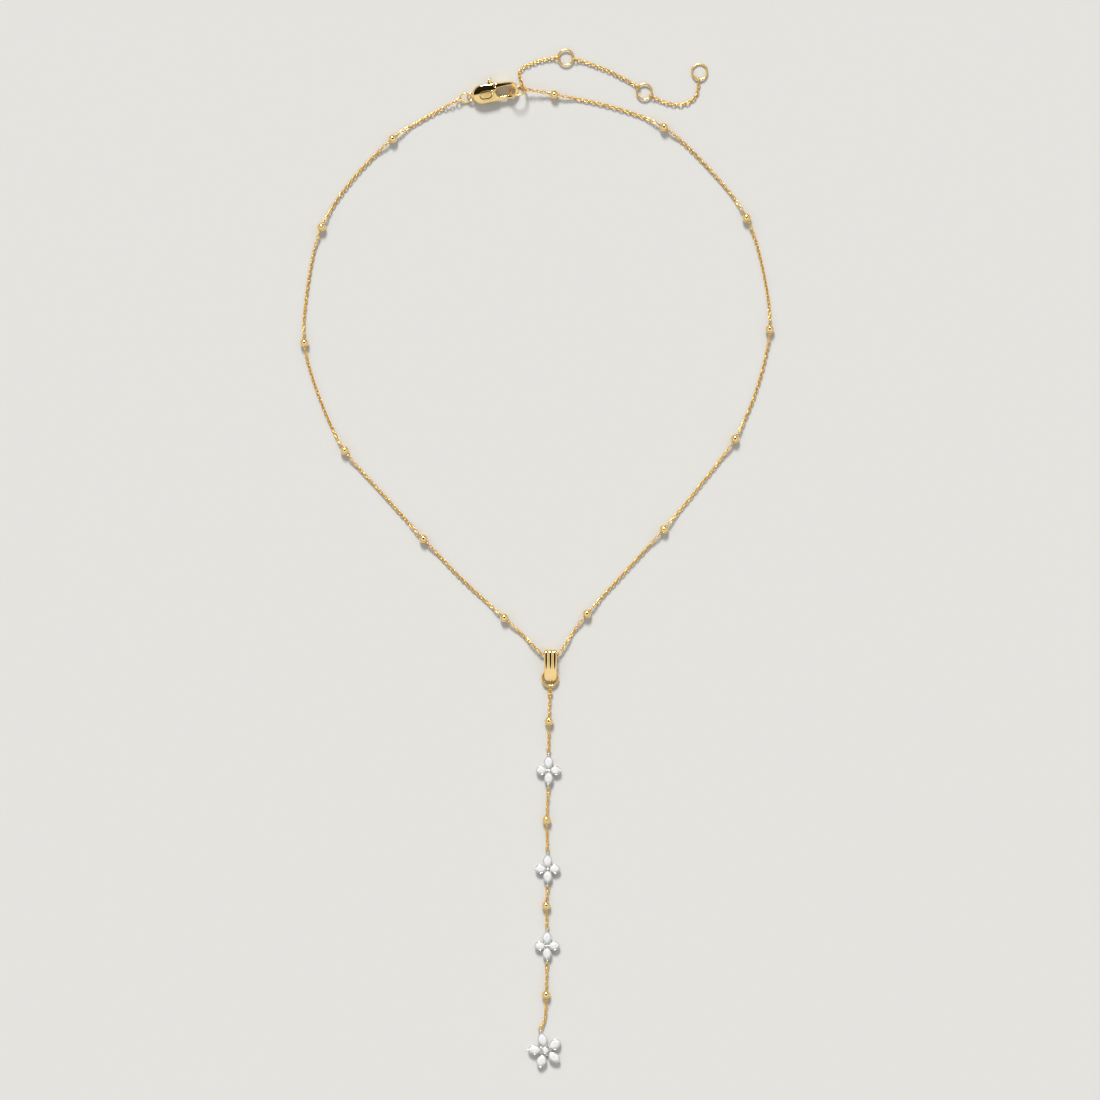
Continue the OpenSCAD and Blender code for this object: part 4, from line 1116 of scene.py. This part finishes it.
class NECKLACE_OT_rings(PieceOperator, bpy.types.Operator):
    """Jump rings: at the clasp's tail and nose, in the bail and along the extender"""
    bl_idname = "necklace.rings"
    bl_label = "Rings"

    def execute(self, context):
        metal = material_of("ring_gold")
        x, y = np.array([1.0, 0, 0]), np.array([0, 1.0, 0])
        roll = math.radians(TAIL_RING_ROLL)
        make_piece("tail_jump_ring", [torus(
            clasp_point(TAIL_RING_U, 0, EYE_Z), turned(x, CLASP_TURN),
            turned(np.array([0, math.cos(roll), math.sin(roll)]), CLASP_TURN), TAIL_RING_R, TAIL_RING_WIRE)],
            metal, ["clasp_tail_ring"])
        make_piece("nose_ring", [torus(connector_middle(), connector_out(0), connector_out(90), CONNECTOR_R,
                                       RING_WIRE)], metal, ["connector_ring"])
        make_piece("bail_jump_ring", [torus(BAIL_RING_MIDDLE + MID, x, y, BAIL_RING_R, BAIL_RING_WIRE)],
                   metal, ["bail_ring"])
        middles = flat(RING_MIDDLES, RING_Z)
        for k in (0, 1):
            make_piece(f"extender_hoop_{k + 1}", [torus(middles[k], x, y, RING_R, RING_WIRE)],
                       metal, [f"extender_ring_{k + 1}"])
        tilt = math.asin((RING_Z - RING_WIRE / 2) / (2 * RING_R))
        u = turned(np.array([math.cos(tilt), 0, math.sin(tilt)]), RING_3_LOW)
        held = ring_joint(middles[2], RING_R, RING_3_LOW)
        make_piece("extender_hoop_3", [torus(held - RING_R * u, u, turned(y, RING_3_LOW), RING_R, RING_WIRE)],
                   metal, ["extender_ring_3"])
        return {"FINISHED"}


class NECKLACE_OT_bail(PieceOperator, bpy.types.Operator):
    """Ribbed bail that slides on the neck chain"""
    bl_idname = "necklace.bail"
    bl_label = "Bail"

    def execute(self, context):
        make_piece("ribbed_bail", [bail_shell()], material_of("polished_gold"), ["bail"])
        return {"FINISHED"}


def cast_copy(node, name, step, form):
    """A merged copy of a CAD node, remeshed in even small steps, whose points are then drawn onto a
    form in the clasp's frame, so that its faces bend and its edges are soft as a cast piece's."""
    copy = placed(name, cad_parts[node].data.copy())
    edit = bmesh.new()
    edit.from_mesh(copy.data)
    bmesh.ops.remove_doubles(edit, verts=edit.verts, dist=1e-7)
    edit.to_mesh(copy.data)
    edit.free()
    # The later rounds give even steps where the first one stretched them
    for _ in range(3):
        remesh = copy.modifiers.new("even", "REMESH")
        remesh.mode = "VOXEL"
        remesh.voxel_size = step
        remesh.use_smooth_shade = True
        bpy.context.view_layer.update()
        evaluated = copy.evaluated_get(bpy.context.evaluated_depsgraph_get())
        mesh = bpy.data.meshes.new_from_object(evaluated)
        mesh.name = name
        points = np.empty(len(mesh.vertices) * 3)
        mesh.vertices.foreach_get("co", points)
        edges = np.empty(len(mesh.edges) * 2, np.int32)
        mesh.edges.foreach_get("vertices", edges)
        local = turned(points.reshape(-1, 3) / MM - CLASP_AT, -CLASP_TURN)
        local = drawn_to(local, edges.reshape(-1, 2), form)
        mesh.vertices.foreach_set("co", ((turned(local, CLASP_TURN) + CLASP_AT) * MM).ravel())
        mesh.update()
        copy.modifiers.clear()
        copy.data = mesh
    # Painted shade along the plaque's groove line, on the upper face only
    write_painted_shade(mesh, plaque_line(local, 0.1) * (local[:, 2] > CLASP_T / 2))
    mesh.shade_smooth()
    mesh.materials.clear()
    mesh.materials.append(material_of("cast_gold"))
    return copy


class NECKLACE_OT_clasp(PieceOperator, bpy.types.Operator):
    """Lobster clasp: its cast body, its sprung lever and the pin that the lever turns on"""
    bl_idname = "necklace.clasp"
    bl_label = "Clasp"

    def execute(self, context):
        step = context.scene.necklace_sizes.softness
        for node, name, form, body in (("clasp_body", "lobster_body", clasp_form, BODY),
                                       ("clasp_lever", "lobster_lever", lever_form, "clasp_lever")):
            settle(cast_copy(node, name, step, form), [node], body)
        r = PIN_D / 2
        profile = [[r * 0.7, 0.08], [r * 0.94, 0.11], [r, 0.18], [r, 1.0], [r, 2.0], [r * 0.97, 2.1],
                   [r * 0.7, 2.1]]
        rings = lathe(profile, clasp_point(*PIVOT, 0), UP, 40)
        # Its head is flush with the clasp's upper face
        plan = turned(rings - CLASP_AT, -CLASP_TURN)
        for k, under in ((-3, 0.08), (-2, 0.015), (-1, 0.0)):
            rings[k, :, 2] = clasp_top(plan[k]) - 0.01 - under
        make_piece("lever_pin", [grid_shell(rings, caps=True)], material_of("polished_gold"), ["clasp_pin"])
        return {"FINISHED"}


def capped(profile, middle, sides):
    """A closed shell of a profile carried round an upright axis."""
    return grid_shell(lathe(profile, middle, UP, sides), caps=True)


def petal_cups(i, prong):
    """Cups of a flower's petals, each with a small prong at its two tips."""
    shells = []
    for j in range(petal_count(i)):
        shells.append(grid_shell(cup_grid(i, j), caps=True))
        half = petal(i, j)[0] / 2
        for x in (half - prong * 0.95, prong * 1.1 - half):
            shells.append(ball(at_petal([[x, 0, CUP_H - 0.02]], i, j)[0], prong, 0.8))
    return shells


def end_middle(middle, prong):
    """Middle of the end flower: its sloped collar, and the centre stone's cup with four prongs."""
    r = CENTRE_D / 2
    collar = [[0.7, 0.2], [END_IN + 0.35, 0.2], [END_IN + 0.2, 0.5], [0.75, 1.25]]
    cup = [[r - 0.3, 0.0], [r - 0.12, 0.3], [r - 0.02, 1.0], [r, 1.4], [r - 0.03, 1.48], [r - 0.08, 1.5],
           [r - 0.14, 1.48], [r - 0.18, 1.38], [r - 0.18, 1.1], [r - 0.4, CUP_FLOOR + 0.1]]
    outs = [turned([r - 0.1, 0, CUP_H - 0.01], END_TURN + 36 + k * 90) for k in range(4)]
    return [capped(collar, middle, 48), capped(cup, middle, 48),
            *(ball(middle + out, prong * 0.85, 0.9) for out in outs)]


def station_middle(middle):
    """Middle of one of the upper flowers: a waisted post with a ball on it."""
    post = [[1.0, 0.2], [0.95, 0.7], [0.6, 1.1], [0.3, 1.25], [0.3, CUP_H]]
    return [capped(post, middle, 24), ball(middle + [0, 0, CUP_H], BALL_D / 2, 1.0, 16, 28)]


class NECKLACE_OT_settings(PieceOperator, bpy.types.Operator):
    """White-metal flower settings with their cups, prongs, loops and middle"""
    bl_idname = "necklace.settings"
    bl_label = "Flower settings"

    def execute(self, context):
        metal = material_of("white_metal")
        prong = context.scene.necklace_sizes.prong / MM
        for i in range(len(FLOWERS)):
            end = i == len(FLOWERS) - 1
            middle = np.array([*FLOWERS[i], 0]) + MID
            r = END_IN + 0.45 if end else 1.3
            plate = [[r - 0.1, 0.0], [r, 0.08], [r, CUP_FLOOR - 0.08], [r - 0.1, CUP_FLOOR]]
            shells = [*petal_cups(i, prong), capped(plate, middle, 56),
                      *(end_middle(middle, prong) if end else station_middle(middle))]
            for way in (1,) if end else (1, -1):
                out = turned([1.0, 0, 0], END_TURN if end else 90)
                shells.append(torus(flat(loop_middle(i, way), LOOP_Z)[0], out, UP, LOOP_R, LOOP_WIRE, 40, 12))
            make_piece(f"flower_frame_{i + 1}", shells, metal, [f"flower_setting_{i + 1}"])
        return {"FINISHED"}


class NECKLACE_OT_stones(PieceOperator, bpy.types.Operator):
    """Cut marquise stones of the flowers and the round one of the end flower"""
    bl_idname = "necklace.stones"
    bl_label = "Stones"

    def execute(self, context):
        clear = material_of("clear_stone")
        inset, girdle_h = CUP_WALL + 0.02, CUP_H - 0.06
        for i in range(len(FLOWERS)):
            for j in range(petal_count(i)):
                length, width, _, _ = petal(i, j)
                points, faces = faceted(marquise(length, width, -inset, 24), girdle_h)
                make_piece(f"marquise_{i + 1}_{j + 1}", [(at_petal(points, i, j), faces)], clear,
                           [f"petal_stone_{i + 1}_{j + 1}"], smooth_faces=False)
        q = np.arange(16) * 2 * np.pi / 16
        ring = (CENTRE_D / 2 - inset) * np.column_stack([np.cos(q), np.sin(q)])
        points, faces = faceted(ring, girdle_h)
        make_piece("round_stone", [(points + [*FLOWERS[-1], 0] + MID, faces)], clear, ["centre_stone"],
                   smooth_faces=False)
        return {"FINISHED"}


def world_light(strength):
    """Soft light from all round: bright high up, darker at the horizon and darker still beyond the
    top, with a dark disc close to the zenith that polished metal shows as its black reflections."""
    world = bpy.data.worlds.new("soft_room")
    bpy.context.scene.world = world
    world.use_nodes = True
    sh = Shading(world.node_tree)
    direction = sh.node("ShaderNodeTexCoord").outputs["Generated"]
    axes = sh.node("ShaderNodeSeparateXYZ", inputs={"Vector": direction})
    height, forward = sh.value(axes.outputs["Z"]), sh.value(axes.outputs["Y"])
    lean, edge, core = (math.radians(a) for a in (9, 28, 24))
    patch = sh.node("ShaderNodeVectorMath", {"operation": "DOT_PRODUCT"},
                    {0: direction, 1: (0.0, math.sin(lean), math.cos(lean))})
    dark = sh.value(patch.outputs["Value"]).between(math.cos(edge), math.cos(core))
    level = (0.36 + height.between(0.1, 0.6) * 0.54) * (1 - forward.between(0.3, 0.95) * 0.6)
    level = level * (1 - dark * 0.985)
    background = sh.node("ShaderNodeBackground", inputs={
        "Color": (1.0, 0.99, 0.97, 1), "Strength": level * strength})
    sh.node("ShaderNodeOutputWorld", inputs={"Surface": background.outputs["Background"]})


def lamp(name, azimuth, elevation, strength, size):
    """Distant lamp: its light comes from an azimuth, measured from +Y towards +X, and an elevation."""
    data = bpy.data.lights.new(name, "SUN")
    data.energy = strength
    data.angle = size
    data.color = (1.0, 0.99, 0.975)
    placed(name, data).rotation_euler = (math.radians(90 - elevation), 0.0, math.radians(180 - azimuth))


class NECKLACE_OT_stage(PieceOperator, bpy.types.Operator):
    """Pale floor, a distant lamp beyond the top, soft room light and the camera overhead"""
    bl_idname = "necklace.stage"
    bl_label = "Stage"

    def execute(self, context):
        look = context.scene.necklace_stage
        half, under = 12.0, -0.00003
        corners = [(x * half, y * half, under) for x, y in ((-1, -1), (1, -1), (1, 1), (-1, 1))]
        mesh = bpy.data.meshes.new("paper_floor")
        mesh.from_pydata(corners, [], [(0, 1, 2, 3)])
        floor = placed("paper_floor", mesh)
        material, sh = new_material("paper")
        tooth = sh.noise(2600.0, 4.0, 0.6)
        colour = sh.mix_colour(tooth, rgba(look.paper), rgba([c * 0.985 for c in look.paper]))
        sh.surface(Base_Color=colour, Roughness=0.85, Specular_IOR_Level=0.2)
        mesh.materials.append(material)
        world_light(look.fill)
        lamp("far_lamp", -9, 41, look.lamp_power, look.lamp_size)
        data = bpy.data.cameras.new("camera")
        data.sensor_fit = "HORIZONTAL"
        height = 1.2
        data.angle = 2 * math.atan(look.view_width / 2 / (height - 0.001))
        data.clip_start = 0.01
        data.clip_end = 50
        camera = placed("camera", data)
        camera.location = (0.00338, 0.00205, height)
        context.scene.camera = camera
        context.scene.view_settings.view_transform = "Standard"
        return {"FINISHED"}


OPERATORS = (
    NECKLACE_OT_chains, NECKLACE_OT_beads, NECKLACE_OT_rings, NECKLACE_OT_bail, NECKLACE_OT_clasp,
    NECKLACE_OT_settings, NECKLACE_OT_stones, NECKLACE_OT_stage,
)


class NECKLACE_PT_panel(bpy.types.Panel):
    """Sidebar panel with the sizes, the finishes and a button for each group of pieces"""
    bl_idname = "NECKLACE_PT_panel"
    bl_label = "Lariat necklace"
    bl_space_type = "VIEW_3D"
    bl_region_type = "UI"
    bl_category = "Necklace"

    def draw(self, context):
        scene = context.scene
        for group in (scene.necklace_sizes, scene.necklace_finish, scene.necklace_stage):
            box = self.layout.box()
            for name in group.__annotations__:
                box.prop(group, name)
        for operator in OPERATORS:
            self.layout.operator(operator.bl_idname)


CLASSES = (NECKLACE_PG_sizes, NECKLACE_PG_finish, NECKLACE_PG_stage, *OPERATORS, NECKLACE_PT_panel)


def register():
    """Registers the classes and the three groups of settings."""
    for cls in CLASSES:
        bpy.utils.register_class(cls)
    bpy.types.Scene.necklace_sizes = PointerProperty(type=NECKLACE_PG_sizes)
    bpy.types.Scene.necklace_finish = PointerProperty(type=NECKLACE_PG_finish)
    bpy.types.Scene.necklace_stage = PointerProperty(type=NECKLACE_PG_stage)


def unregister():
    """Takes the settings and the classes away again."""
    del bpy.types.Scene.necklace_stage
    del bpy.types.Scene.necklace_finish
    del bpy.types.Scene.necklace_sizes
    for cls in reversed(CLASSES):
        bpy.utils.unregister_class(cls)


def main():
    """Builds every piece and the stage."""
    register()
    bpy.ops.necklace.chains()
    bpy.ops.necklace.beads()
    bpy.ops.necklace.rings()
    bpy.ops.necklace.bail()
    bpy.ops.necklace.clasp()
    bpy.ops.necklace.settings()
    bpy.ops.necklace.stones()
    bpy.ops.necklace.stage()


if __name__ == "__main__":
    main()
